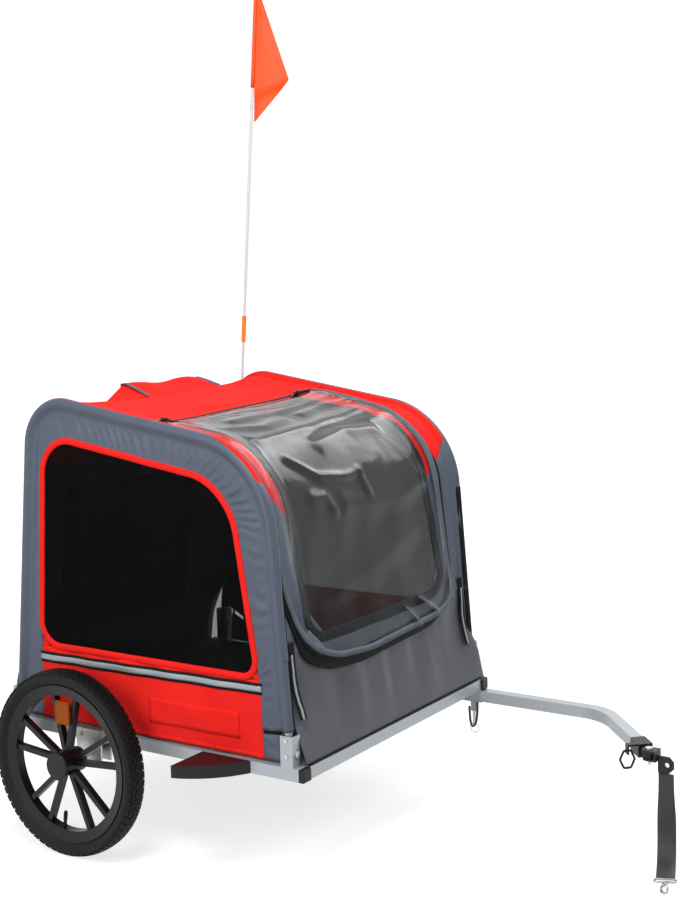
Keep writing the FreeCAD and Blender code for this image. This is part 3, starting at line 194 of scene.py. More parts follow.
def ripple(a, b, seed):
    return noise.noise(Vector((a, b, seed)))


def through(table, x):
    """Height at x of a soft line through a table of points."""
    def straight(v):
        k = min(max(bisect_right([p[0] for p in table], v), 1), len(table) - 1)
        (a, low), (b, high) = table[k - 1], table[k]
        return low + (high - low) * min(max((v - a) / (b - a), 0.0), 1.0)

    return sum(straight(x + step) for step in (-16, -8, 0, 8, 16)) / 5


def ridges(lines, y, s):
    """Height of soft ridges along flat lines; each has its points, its height and its half width."""
    total = 0.0
    place = Vector((y, s))
    for points, high, wide in lines:
        best = 1e9
        for a, b in zip(points, points[1:]):
            a, b = Vector(a), Vector(b)
            share = min(max((place - a).dot(b - a) / (b - a).length_squared, 0.0), 1.0)
            best = min(best, (place - a.lerp(b, share)).length)
        if best < 3 * wide:
            total += high * math.exp(-(best / wide) ** 2)
    return total


def filled(line, centre, place, shares=(1.0, 0.9, 0.75, 0.55, 0.35, 0.15)):
    """Rings from a closed outline to its centre; place turns a flat point and its share into a point in space."""
    rows = [[place(centre.lerp(p, share), share) for p in line] for share in shares]
    points, faces = grid(rows, closed_columns=True)
    wide = len(line)
    last = (len(rows) - 1) * wide
    points.append(place(centre, 0.0))
    faces += [(last + j, last + (j + 1) % wide, len(points) - 1) for j in range(wide)]
    return points, faces


def cut_sheet(piece, others=()):
    """Does nothing with the sheet and the pieces cut with it."""
    list(others)


def rounded(points, radii, counts):
    """Points along straight runs joined by arcs; counts holds the steps of each run and arc in turn."""
    line = []
    start = Vector(points[0])
    for i, radius in enumerate(radii):
        a, b, c = (Vector(p) for p in points[i:i + 3])
        into, out = (b - a).normalized(), (c - b).normalized()
        turn = into.angle(out)
        first = b - into * radius * math.tan(turn / 2)
        centre = b + (out - into).normalized() * (radius / math.cos(turn / 2))
        way = math.copysign(turn, into.x * out.y - into.y * out.x)
        steps, bends = counts[2 * i], counts[2 * i + 1]
        line += [start.lerp(first, k / steps) for k in range(steps)]
        for k in range(bends):
            arm = first - centre
            arm.rotate(Matrix.Rotation(way * k / bends, 2))
            line.append(centre + arm)
        start = b + out * radius * math.tan(turn / 2)
    line += [start.lerp(Vector(points[-1]), k / counts[-1]) for k in range(counts[-1] + 1)]
    return line


def loop(points, radii, steps, bends):
    """A closed rounded outline, its end point not repeated."""
    middle = (Vector(points[0]) + Vector(points[-1])) / 2
    corners = [middle] + [Vector(p) for p in points] + [middle]
    return rounded(corners, radii, [steps, bends] * len(points) + [steps])[:-1]


def normals(line, closed):
    """Unit normals to the left of a flat line."""
    count = len(line)
    result = []
    for k in range(count):
        before = line[k - 1] if closed or k else line[0]
        after = line[(k + 1) % count] if closed or k < count - 1 else line[-1]
        way = (after - before).normalized()
        result.append(Vector((-way.y, way.x)))
    return result


# Finishes

def add(tree, kind, settings=None, inputs=None, feeds=None):
    """One node with its settings; an input is a value or another node's socket, and its first output feeds a socket."""
    node = tree.nodes.new(kind)
    for key, value in (settings or {}).items():
        setattr(node, key, value)
    for key, value in (inputs or {}).items():
        if isinstance(value, bpy.types.NodeSocket):
            tree.links.new(value, node.inputs[key])
        else:
            node.inputs[key].default_value = value
    if feeds:
        tree.links.new(node.outputs[0], feeds)
    return node


def rgba(values):
    return (*values, 1.0)


def chosen(name):
    """A colour that the user may change."""
    return tuple(getattr(bpy.context.scene.trailer_colours, name))


def finish(name, base, roughness, **sockets):
    """A new material with one shader and its constants; returns material, tree, shader and place."""
    material = bpy.data.materials.new(name)
    material.use_nodes = True
    tree = material.node_tree
    shader = tree.nodes["Principled BSDF"]
    shader.inputs["Base Color"].default_value = rgba(base)
    shader.inputs["Roughness"].default_value = roughness
    for key, value in sockets.items():
        shader.inputs[key.replace("_", " ")].default_value = value
    place = add(tree, "ShaderNodeTexCoord").outputs["Object"]
    return material, tree, shader, place


def per_metre(millimetres):
    """Texture scale at which one pattern step is that many millimetres."""
    return 1000 / millimetres


def mottle(tree, shader, place, base, grain, spread):
    """Slow change of colour: base a little darker and lighter over patches of a size in millimetres."""
    cloud = add(tree, "ShaderNodeTexNoise", None, {"Vector": place, "Scale": per_metre(grain), "Detail": 4.0})
    ramp = add(tree, "ShaderNodeValToRGB", None, {"Fac": cloud.outputs["Fac"]}, shader.inputs["Base Color"])
    ramp.color_ramp.elements[0].position = 0.3
    ramp.color_ramp.elements[1].position = 0.7
    ramp.color_ramp.elements[0].color = rgba([c * (1 - spread) for c in base])
    ramp.color_ramp.elements[1].color = rgba([min(c * (1 + spread), 1.0) for c in base])
    return cloud


def grained(name, base, roughness, grain, spread, high, strength, **sockets):
    """A finish whose colour and height change together over grains of a size in millimetres."""
    material, tree, shader, place = finish(name, base, roughness, **sockets)
    cloud = mottle(tree, shader, place, base, grain, spread)
    add(tree, "ShaderNodeBump", None, {"Height": cloud.outputs["Fac"], "Strength": strength, "Distance": high / 1000},
        shader.inputs["Normal"])
    return material


@lru_cache(maxsize=None)
def woven_nylon(name, base, roughness, sheen, gloss):
    """Plain-woven coated nylon: crossed threads, drawn 1.6 mm apart so that they show, and a satin sheen."""
    material, tree, shader, place = finish(name, base, roughness, Sheen_Weight=sheen, Sheen_Roughness=0.35,
                                           Specular_IOR_Level=gloss)
    mottle(tree, shader, place, base, 60, 0.05)
    heights = []
    for axis in ("X", "Y", "Z"):
        wave = add(tree, "ShaderNodeTexWave", {"bands_direction": axis},
                   {"Vector": place, "Scale": per_metre(1.6) / 20, "Distortion": 0.6, "Detail": 1.0})
        heights.append(wave.outputs["Fac"])
    first = add(tree, "ShaderNodeMath", {"operation": "ADD"}, {0: heights[0], 1: heights[1]})
    threads = add(tree, "ShaderNodeMath", {"operation": "ADD"}, {0: first.outputs[0], 1: heights[2]})
    add(tree, "ShaderNodeBump", None, {"Height": threads.outputs[0], "Strength": 0.25, "Distance": 0.1 / 1000},
        shader.inputs["Normal"])
    return material


def grey_cloth():
    return woven_nylon("coated_nylon_grey", chosen("grey"), 0.42, 0.05, 0.32)


def red_cloth():
    return woven_nylon("coated_nylon_red", chosen("red"), 0.6, 0.0, 0.03)


def front_cloth():
    return woven_nylon("coated_polyester_grey", chosen("front_grey"), 0.42, 0.0, 0.22)


@lru_cache(maxsize=None)
def edge_tape(name, base):
    """Ribbed binding tape: fine cross ribs 1.2 mm apart and a dull face."""
    material, tree, shader, place = finish(name, base, 0.62, Specular_IOR_Level=0.12)
    mottle(tree, shader, place, base, 25, 0.1)
    ribs = add(tree, "ShaderNodeTexWave", {"bands_direction": "DIAGONAL"},
               {"Vector": place, "Scale": per_metre(1.2) / 20, "Distortion": 1.0})
    add(tree, "ShaderNodeBump", None, {"Height": ribs.outputs["Fac"], "Strength": 0.5, "Distance": 0.2 / 1000},
        shader.inputs["Normal"])
    return material


def binding_tape():
    return edge_tape("polyester_binding_tape", chosen("binding"))


def black_tape():
    return edge_tape("black_binding_tape", tuple(linear("#0D0D0E")))


# Black nylon: the real cloth at the door's head, and painted shade where it stands for the rear window.
def dark_cloth():
    return woven_nylon("black_lining_nylon", tuple(linear("#1D1D1F")), 0.6, 0.0, 0.1)


@lru_cache(maxsize=None)
def knitted_mesh(name, code, cover):
    """Knitted polyester mesh: dark yarn round holes drawn 2 mm apart, which let part of the light through."""
    material, tree, shader, place = finish(name, linear(code), 0.8, Specular_IOR_Level=0.05)
    holes = add(tree, "ShaderNodeTexVoronoi", {"feature": "SMOOTH_F1"},
                {"Vector": place, "Scale": per_metre(2.0), "Randomness": 0.35})
    add(tree, "ShaderNodeMapRange", None, {"Value": holes.outputs["Distance"], "From Min": 0.1, "From Max": 0.6,
                                           "To Min": cover - 0.03, "To Max": cover + 0.03}, shader.inputs["Alpha"])
    return material


@lru_cache(maxsize=None)
def clear_vinyl():
    """Clear soft PVC: a film with slow ripples, whose outer face mirrors the studio more at a slant."""
    material, tree, shader, place = finish("clear_soft_pvc", linear("#E4E6E8"), 0.1)
    wrinkle = add(tree, "ShaderNodeTexNoise", None, {"Vector": place, "Scale": per_metre(90), "Detail": 2.0,
                                                     "Distortion": 0.8})
    bump = add(tree, "ShaderNodeBump", None, {"Height": wrinkle.outputs["Fac"], "Distance": 0.005, "Strength": 0.35})
    slant = add(tree, "ShaderNodeFresnel", None, {"IOR": 1.5, "Normal": bump.outputs["Normal"]})
    side = add(tree, "ShaderNodeNewGeometry").outputs["Backfacing"]
    outside = add(tree, "ShaderNodeMath", {"operation": "SUBTRACT"}, {0: 1.0, 1: side})
    gain = add(tree, "ShaderNodeMath", {"operation": "MULTIPLY_ADD"}, {0: slant.outputs["Fac"], 1: 1.15, 2: -0.05})
    share = add(tree, "ShaderNodeMath", {"operation": "MULTIPLY", "use_clamp": True},
                {0: gain.outputs[0], 1: outside.outputs[0]})
    clear = add(tree, "ShaderNodeBsdfTransparent", None, {"Color": rgba(linear("#F4F6F7"))})
    mirror = add(tree, "ShaderNodeBsdfAnisotropic", None,
                 {"Color": rgba(linear("#F2F4F6")), "Roughness": 0.14, "Normal": bump.outputs["Normal"]})
    add(tree, "ShaderNodeMixShader", None, {0: share.outputs[0], 1: clear.outputs[0], 2: mirror.outputs[0]},
        tree.nodes["Material Output"].inputs["Surface"])
    tree.nodes.remove(shader)
    return material


@lru_cache(maxsize=None)
def painted_steel():
    """Silver-grey sprayed paint on steel tube: satin, with a faint orange peel."""
    return grained("silver_paint_on_steel", chosen("silver"), 0.38, 4, 0.05, 0.05, 0.3, Metallic=0.35, Coat_Weight=0.15)


@lru_cache(maxsize=None)
def moulded_plastic(name, code, roughness, grain):
    """Moulded plastic: fine spark-eroded grain that breaks up the gloss."""
    return grained(name, linear(code), roughness, grain, 0.12, 0.08, 0.4, Specular_IOR_Level=0.25)


@lru_cache(maxsize=None)
def plated_metal(name, code, roughness):
    """Plated steel: bright, with faint drawing lines 0.8 mm apart."""
    base = linear(code)
    material, tree, shader, place = finish(name, base, roughness, Metallic=1.0)
    lines = add(tree, "ShaderNodeTexNoise", None, {"Vector": place, "Scale": per_metre(0.8), "Detail": 2.0})
    mottle(tree, shader, place, base, 12, 0.06)
    add(tree, "ShaderNodeBump", None, {"Height": lines.outputs["Fac"], "Strength": 0.3, "Distance": 0.03 / 1000},
        shader.inputs["Normal"])
    return material


@lru_cache(maxsize=None)
def tyre_rubber():
    """Cured black rubber: dull, a little dusty on the high places."""
    return grained("cured_tyre_rubber", linear("#101011"), 0.55, 9, 0.3, 0.2, 0.4, Specular_IOR_Level=0.16)


@lru_cache(maxsize=None)
def amber_lens():
    """Amber acrylic over corner prisms 4 mm apart."""
    base = linear("#C4660C")
    material, tree, shader, place = finish("amber_acrylic_lens", base, 0.3, Specular_IOR_Level=0.1)
    prisms = add(tree, "ShaderNodeTexVoronoi", {"feature": "F1", "distance": "MANHATTAN"},
                 {"Vector": place, "Scale": per_metre(4.0), "Randomness": 0.0})
    ramp = add(tree, "ShaderNodeValToRGB", None, {"Fac": prisms.outputs["Distance"]}, shader.inputs["Base Color"])
    ramp.color_ramp.elements[0].color = rgba(linear("#B85C08"))
    ramp.color_ramp.elements[1].color = rgba(linear("#5E2602"))
    add(tree, "ShaderNodeBump", None, {"Height": prisms.outputs["Distance"], "Strength": 0.6, "Distance": 0.6 / 1000},
        shader.inputs["Normal"])
    return material


@lru_cache(maxsize=None)
def reflective_tape():
    """Glass-bead reflective tape: grey with a soft bright face."""
    base = linear("#93989C")
    material, tree, shader, place = finish("glass_bead_tape", base, 0.34, Metallic=0.25)
    mottle(tree, shader, place, base, 3, 0.06)
    return material


@lru_cache(maxsize=None)
def flag_vinyl():
    """Thin orange PVC sheet: light shines through it, so its back is as bright as its front."""
    base = chosen("flag")
    material, tree, shader, place = finish("orange_flag_pvc", base, 0.4)
    mottle(tree, shader, place, base, 70, 0.06)
    glow = add(tree, "ShaderNodeBsdfTranslucent", None, {"Color": rgba(base)})
    add(tree, "ShaderNodeMixShader", None, {0: 0.35, 1: shader.outputs[0], 2: glow.outputs[0]},
        tree.nodes["Material Output"].inputs["Surface"])
    return material


@lru_cache(maxsize=None)
def webbing():
    """Black polypropylene webbing: ribs 2 mm apart along the strap."""
    base = linear("#101011")
    material, tree, shader, place = finish("polypropylene_webbing", base, 0.6, Sheen_Weight=0.2)
    mottle(tree, shader, place, base, 20, 0.2)
    ribs = add(tree, "ShaderNodeTexWave", {"bands_direction": "Z"},
               {"Vector": place, "Scale": per_metre(2.0) / 20, "Distortion": 0.4})
    add(tree, "ShaderNodeBump", None, {"Height": ribs.outputs["Fac"], "Strength": 0.6, "Distance": 0.4 / 1000},
        shader.inputs["Normal"])
    return material


def black_plastic():
    return moulded_plastic("moulded_black_nylon", "#131315", 0.42, 1.5)


# Outlines that the cloth follows

def leaning(rear, front, low, top, rear_lean, front_lean):
    """Corners of an outline whose ends lean in and whose top falls to the front, from its rear foot on."""
    rear_x = (rear + rear_lean * (top - low)) / (1 + rear_lean * FALL)
    front_x = (front - front_lean * (top - low)) / (1 - front_lean * FALL)
    return [(rear, low), (rear_x, top - FALL * rear_x), (front_x, top - FALL * front_x), (front, low)]


def hoop_line(counts):
    """Centre line of a hoop, from its rear foot over the roof to its front foot."""
    rear_lean, front_lean = math.tan(math.radians(6.0)), math.tan(math.radians(3.6))
    rear = -209.6 - HOOP_PIVOT * rear_lean
    front = 525.7 + HOOP_PIVOT * front_lean
    points = leaning(rear, front, 0, HOOP_TOP, rear_lean, front_lean)
    points[0] = (rear + WALL_FOOT * rear_lean, WALL_FOOT)
    points[3] = (front - WALL_FOOT * front_lean, WALL_FOOT)
    return rounded(points, [100, 195], counts)


def window_corners(grow):
    """Corners and radii of the side window; grow moves its edge outward."""
    rear_lean, front_lean = math.tan(math.radians(4.0)), math.tan(math.radians(8.5))
    feet = leaning(-131 - grow, 449 + grow, 422 - grow, 850.5 + grow, rear_lean, front_lean)
    corners = [feet[0], feet[3], feet[2], feet[1]]
    return corners, [radius + grow for radius in (42, 30, 130, 70)]


COVER_TOP = 937
COVER_SAG = 18
COVER_STEPS = [60, 28, 56, 46, 70]


def section(top):
    """Plain section of the cover from its rear hem over the roof to its front hem."""
    rear_lean, front_lean = math.tan(math.radians(8.2)), math.tan(math.radians(11.0))
    points = leaning(-247.0, 561.0, 251.3, top, rear_lean, front_lean)
    return rounded(points, [104, 198], COVER_STEPS)


EDGE = section(COVER_TOP)
HOOP = hoop_line(COVER_STEPS)
EDGE_LENGTHS = [0.0]
for before, after in zip(EDGE, EDGE[1:]):
    EDGE_LENGTHS.append(EDGE_LENGTHS[-1] + (after - before).length)


@lru_cache(maxsize=None)
def cover_line(y):
    """Section at one place across: it sags in the middle and is drawn up to the hoops at the sides."""
    share = abs(y) / COVER_HALF
    inner = section(COVER_TOP - COVER_SAG * (1 - share ** 4))
    pull = ease(0.72, 1.0, share)
    return [p.lerp(h, pull * ease(310, 430, p.y)) for p, h in zip(inner, HOOP)]


def along_front(z):
    """Distance along the cover from its rear hem to a height on its front wall."""
    k = next(i for i in range(len(EDGE) - 1, 0, -1) if EDGE[i].y <= z <= EDGE[i - 1].y)
    share = (z - EDGE[k].y) / (EDGE[k - 1].y - EDGE[k].y)
    return EDGE_LENGTHS[k] + (EDGE_LENGTHS[k - 1] - EDGE_LENGTHS[k]) * share


def along_roof(x):
    """Distance along the cover from its rear hem to a place on its roof."""
    k = next(i for i in range(1, len(EDGE)) if EDGE[i].x >= x and EDGE[i].y > 700)
    share = (x - EDGE[k - 1].x) / (EDGE[k].x - EDGE[k - 1].x)
    return EDGE_LENGTHS[k - 1] + (EDGE_LENGTHS[k] - EDGE_LENGTHS[k - 1]) * share


def on_cover(y, s, lift):
    """A point on the cover, by its place across, its distance along and its height off the cloth."""
    k = min(max(bisect_right(EDGE_LENGTHS, s), 1), len(EDGE) - 1)
    share = (s - EDGE_LENGTHS[k - 1]) / (EDGE_LENGTHS[k] - EDGE_LENGTHS[k - 1])
    line = cover_line(round(min(max(y, -COVER_HALF), COVER_HALF), 1))
    flat = line[k - 1].lerp(line[k], share)
    way = (line[k] - line[k - 1]).normalized()
    return at(flat.x - way.y * lift, y, flat.y + way.x * lift)


def over_sleeve(y):
    """Extra height where the cloth is drawn up over the hoop's sleeve."""
    return math.sqrt(max(ROOF_OVER_SLEEVE ** 2 - (HOOP_Y - abs(y)) ** 2, 0.0))


# Lines on the cover, as distances across it and along it
HINGE = along_roof(200)
SILL = along_front(472)
HEM = EDGE_LENGTHS[-1]
REAR_SEAM = next(EDGE_LENGTHS[i] for i in range(len(EDGE)) if EDGE[i].y >= 800)
MESH_HALF, MESH_HEAD, MESH_SILL = 252, 1156, 1621


def zip_line(y):
    """The zip between the red roof and the clear sheet runs on a slant."""
    return 949 - 0.0936 * y + 0.000136 * y * y


def red_end(y):
    """Slanting seam where the red of the gussets ends."""
    return 1277 + 1.25 * (329 - abs(y))


def cover_band(name, line, offsets, material, slot, body="chassis", closed=False):
    """Tape along a line given across and along the cover; offsets hold (sideways, height) pairs."""
    sides = normals(line, closed)
    rows = [[on_cover(p.x + n.x * o, p.y + n.y * o, h) for o, h in offsets] for p, n in zip(line, sides)]
    return build(name, grid(rows, closed_rows=closed), material, slot, body, thickness=1.0)


# Height under the folded arches, and a share of the cloth's height, handed on with the cloth of the roof and ends
FOLDED_Z, FOLDED_SHARE = 257.5, 0.0095
SINKING = ("chassis", "front_door")


def folds(piece):
    """Gives a piece of the cloth of the roof and ends its own copy of its mesh."""
    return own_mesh(piece, "right_arch_fold", axis=(0, 0, 1), anchor=tuple(at(0, 0, FOLDED_Z)), keep=FOLDED_SHARE)


# Camera, floor and light

def seen_rays(tree):
    """1 for rays that show the background to the eye, straight or in gloss and glass."""
    path = add(tree, "ShaderNodeLightPath")
    first = add(tree, "ShaderNodeMath", {"operation": "MAXIMUM"},
                {0: path.outputs["Is Camera Ray"], 1: path.outputs["Is Glossy Ray"]})
    return add(tree, "ShaderNodeMath", {"operation": "MAXIMUM"},
               {0: first.outputs[0], 1: path.outputs["Is Transmission Ray"]}).outputs[0]


class TRAILER_OT_stage(bpy.types.Operator):
    """Camera, pale floor and soft studio light"""
    bl_idname = "trailer.stage"
    bl_label = "Stage"

    def execute(self, context):
        scene = context.scene
        scene.view_settings.view_transform = "Standard"
        lens = bpy.data.cameras.new("camera")
        lens.sensor_width = SENSOR
        lens.lens = FOCAL / FRAME_HIGH * SENSOR
        lens.shift_x = (FRAME_WIDE / 2 - CENTRE_X) / FRAME_HIGH
        lens.shift_y = (CENTRE_Y - FRAME_HIGH / 2) / FRAME_HIGH
        lens.clip_end = 60
        camera = bpy.data.objects.new("camera", lens)
        scene.collection.objects.link(camera)
        turn, tilt, roll = (math.radians(a) for a in (CAMERA_TURN, CAMERA_TILT, CAMERA_ROLL))
        back = Vector((math.sin(turn) * math.cos(tilt), -math.cos(turn) * math.cos(tilt), math.sin(tilt)))
        right = Vector((math.cos(turn), math.sin(turn), 0))
        up = back.cross(right)
        level = Matrix((right, up, back)).transposed() @ Matrix.Rotation(roll, 3, "Z")
        camera.matrix_world = Matrix.Translation(at(*CAMERA_PLACE)) @ level.to_4x4()
        scene.camera = camera
        self.floor(scene)
        self.lights(scene)
        return {"FINISHED"}

    def floor(self, scene):
        """White to the eye, with the object's soft shadow; it glows more where the studio ends."""
        mesh = bpy.data.meshes.new("floor")
        mesh.from_pydata([(-40, -40, 0), (40, -40, 0), (40, 40, 0), (-40, 40, 0)], [], [(0, 1, 2, 3)])
        floor = bpy.data.objects.new("floor", mesh)
        scene.collection.objects.link(floor)
        base = linear("#BCBCBC")
        material, tree, shader, place = finish("pale_studio_floor", base, 0.9)
        mottle(tree, shader, place, base, 400, 0.004)
        far = add(tree, "ShaderNodeVectorMath", {"operation": "LENGTH"}, {0: place})
        glow = add(tree, "ShaderNodeMapRange", {"interpolation_type": "SMOOTHSTEP"},
                   {"Value": far.outputs["Value"], "From Min": 0.9, "From Max": 3.5, "To Min": 0.72, "To Max": 1.0})
        light = add(tree, "ShaderNodeEmission", None, {"Strength": glow.outputs["Result"]})
        both = add(tree, "ShaderNodeAddShader", None, {0: shader.outputs[0], 1: light.outputs[0]})
        add(tree, "ShaderNodeMixShader", None, {0: seen_rays(tree), 1: shader.outputs[0], 2: both.outputs[0]},
            tree.nodes["Material Output"].inputs["Surface"])
        mesh.materials.append(material)

    def lights(self, scene):
        world = bpy.data.worlds.new("studio")
        world.use_nodes = True
        tree = world.node_tree
        tree.nodes.clear()
        room = add(tree, "ShaderNodeBackground", None, {"Color": (1, 1, 1, 1), "Strength": 0.22})
        white = add(tree, "ShaderNodeBackground", None, {"Color": (1, 1, 1, 1), "Strength": 1.0})
        mix = add(tree, "ShaderNodeMixShader", None, {0: seen_rays(tree), 1: room.outputs[0], 2: white.outputs[0]})
        add(tree, "ShaderNodeOutputWorld", None, {"Surface": mix.outputs[0]})
        scene.world = world
        for name, place, aim, width, power in (
                ("key", at(900, -1550, 2700), at(150, -100, 600), 0.9, 42),
                ("side", at(-300, -2900, 1500), at(150, -300, 500), 2.2, 46),
                ("back", at(650, 2200, 2800), at(250, 0, 700), 2.0, 58),
                ("front", at(2900, 300, 2600), at(400, 0, 500), 1.2, 34)):
            data = bpy.data.lights.new(name, "AREA")
            data.size = width
            data.energy = power
            lamp = bpy.data.objects.new(name, data)
            lamp.location = place
            lamp.rotation_euler = (aim - place).to_track_quat("-Z", "Y").to_euler()
            scene.collection.objects.link(lamp)


# Cords

def cord_line(name, points):
    """A route as one smooth open curve."""
    data = bpy.data.curves.new(name, "CURVE")
    data.dimensions = "3D"
    spline = data.splines.new("NURBS")
    spline.points.add(len(points) - 1)
    for control, point in zip(spline.points, points):
        control.co = (*point, 1)
    spline.order_u = 3
    spline.use_endpoint_u = True
    spline.resolution_u = 12
    return data


def line_points(data):
    """Points along a curve that has no bevel."""
    probe = bpy.data.objects.new("probe", data)
    bpy.context.scene.collection.objects.link(probe)
    bpy.context.view_layer.update()
    mesh = bpy.data.meshes.new_from_object(probe.evaluated_get(bpy.context.evaluated_depsgraph_get()))
    points = [v.co.copy() for v in mesh.vertices]
    bpy.data.objects.remove(probe)
    bpy.data.meshes.remove(mesh)
    return points


def toward(degrees):
    """Unit vector on the ground in a direction."""
    return Vector((math.cos(math.radians(degrees)), math.sin(math.radians(degrees))))


# The drawbar's bend, the length of its slanting arm, and the strap's way from the coupling's pivot
BEND_X, ARM_LENGTH, ARM_TURN, STRAP_TURN, LOOP_OUT = 874, 272, -46, -69, 36
HITCH_PIVOT = Vector((BEND_X, HOOP_Y)) + toward(ARM_TURN) * ARM_LENGTH
STRAP_WAY = toward(STRAP_TURN)
PIN_RING = (550, 335, 195.5)
# Routes as distance out and height: the strap from its loop to the floor, the lanyard from the pin's ring to its anchor
STRAP_ROUTE = ((0, 176.7), (5, 132), (3, 88), (9, 44), (36, 9), (80, 1.05), (106, 1.0))
LANYARD_ROUTE = ((0, 0), (-1, -18), (-4, -36), (-12, -51), (-26, -52), (-34, -37), (-36, -18), (-37, 0))


class TRAILER_OT_cords(bpy.types.Operator):
    """Safety strap and the lock pin's lanyard"""
    bl_idname = "trailer.cords"
    bl_label = "Strap and lanyard"

    def execute(self, context):
        sizes = context.scene.trailer_sizes
        start = HITCH_PIVOT + Vector((LOOP_OUT, 0))
        route = [at(start.x + STRAP_WAY.x * s, start.y + STRAP_WAY.y * s, z) for s, z in STRAP_ROUTE]
        line = line_points(cord_line("strap_route", route))
        across = Vector((-STRAP_WAY.y, STRAP_WAY.x, 0))
        flat = Vector((STRAP_WAY.x, STRAP_WAY.y, 0))
        half, thick = sizes.strap / 2, sizes.strap_thickness / 2
        rings = []
        edge = ((-1, -0.4), (-0.96, -1), (-0.5, -0.9), (0, -1), (0.5, -0.9), (0.96, -1), (1, -0.4))
        edge += tuple((-a, -b) for a, b in edge)
        for k, point in enumerate(line):
            way = (line[min(k + 1, len(line) - 1)] - line[max(k - 1, 0)]).normalized()
            out = Vector((0, 0, 1)) * flat.dot(way) - flat * way.z
            turn = math.radians(34) * (1 - ease(0.02, 0.45, k / (len(line) - 1)))
            wide, deep = across * math.cos(turn) + out * math.sin(turn), out * math.cos(turn) - across * math.sin(turn)
            rings.append([point + wide * (half * a) + deep * (thick * b) for a, b in edge])
        strap = build("safety_strap_webbing", capped(rings), webbing(), "black_webbing", "hitch",
                      replaced="safety_strap")
        length = sum((b - a).length for a, b in zip(line, line[1:]))
        tuple(line[0])
        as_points(line)
        route = [at(PIN_RING[0], PIN_RING[1] + a, PIN_RING[2] + z) for a, z in LANYARD_ROUTE]
        data = cord_line("lock_pin_lanyard", route)
        line = line_points(data)
        data.bevel_depth = sizes.lanyard / 2
        data.bevel_resolution = 4
        data.use_fill_caps = True
        data.materials.append(webbing())
        lanyard = bpy.data.objects.new("lock_pin_lanyard", data)
        context.scene.collection.objects.link(lanyard)
        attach(lanyard, "chassis")
        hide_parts("pin_lanyard")
        length = sum((b - a).length for a, b in zip(line, line[1:]))
        tuple(line[0])
        return {"FINISHED"}


# Side walls

BORDER_COUNTS = [56, 26, 64, 40, 56]
INNER_COUNTS = [20, 8, 28, 26, 64, 40, 28, 8, 20]
# Depth of the puckers along the hoop, from its rear foot to its front foot
PUCKERS = ((0, 0.6), (60, 0.9), (84, 1.4), (100, 2.4), (140, 2.9), (150, 3.3), (178, 3.4), (190, 3.0), (242, 2.6))
RED_REAR, RED_FRONT, RED_TOP = -145, 462, 408
# Cloth beside the hoop that runs square to it, and the row of the border that lies on the roof
SQUARE, ROOF_ROW = 20, 100
WINDOW_MIDDLE = Vector((160, 630))
# Middle of the reflective stripe at the window's middle, and its rise toward the front
STRIPE_Z, STRIPE_RISE = 391.5, 0.012


def swell(z):
    """The window stands a little further out than the hoop."""
    return 3 * ease(405, 470, z)


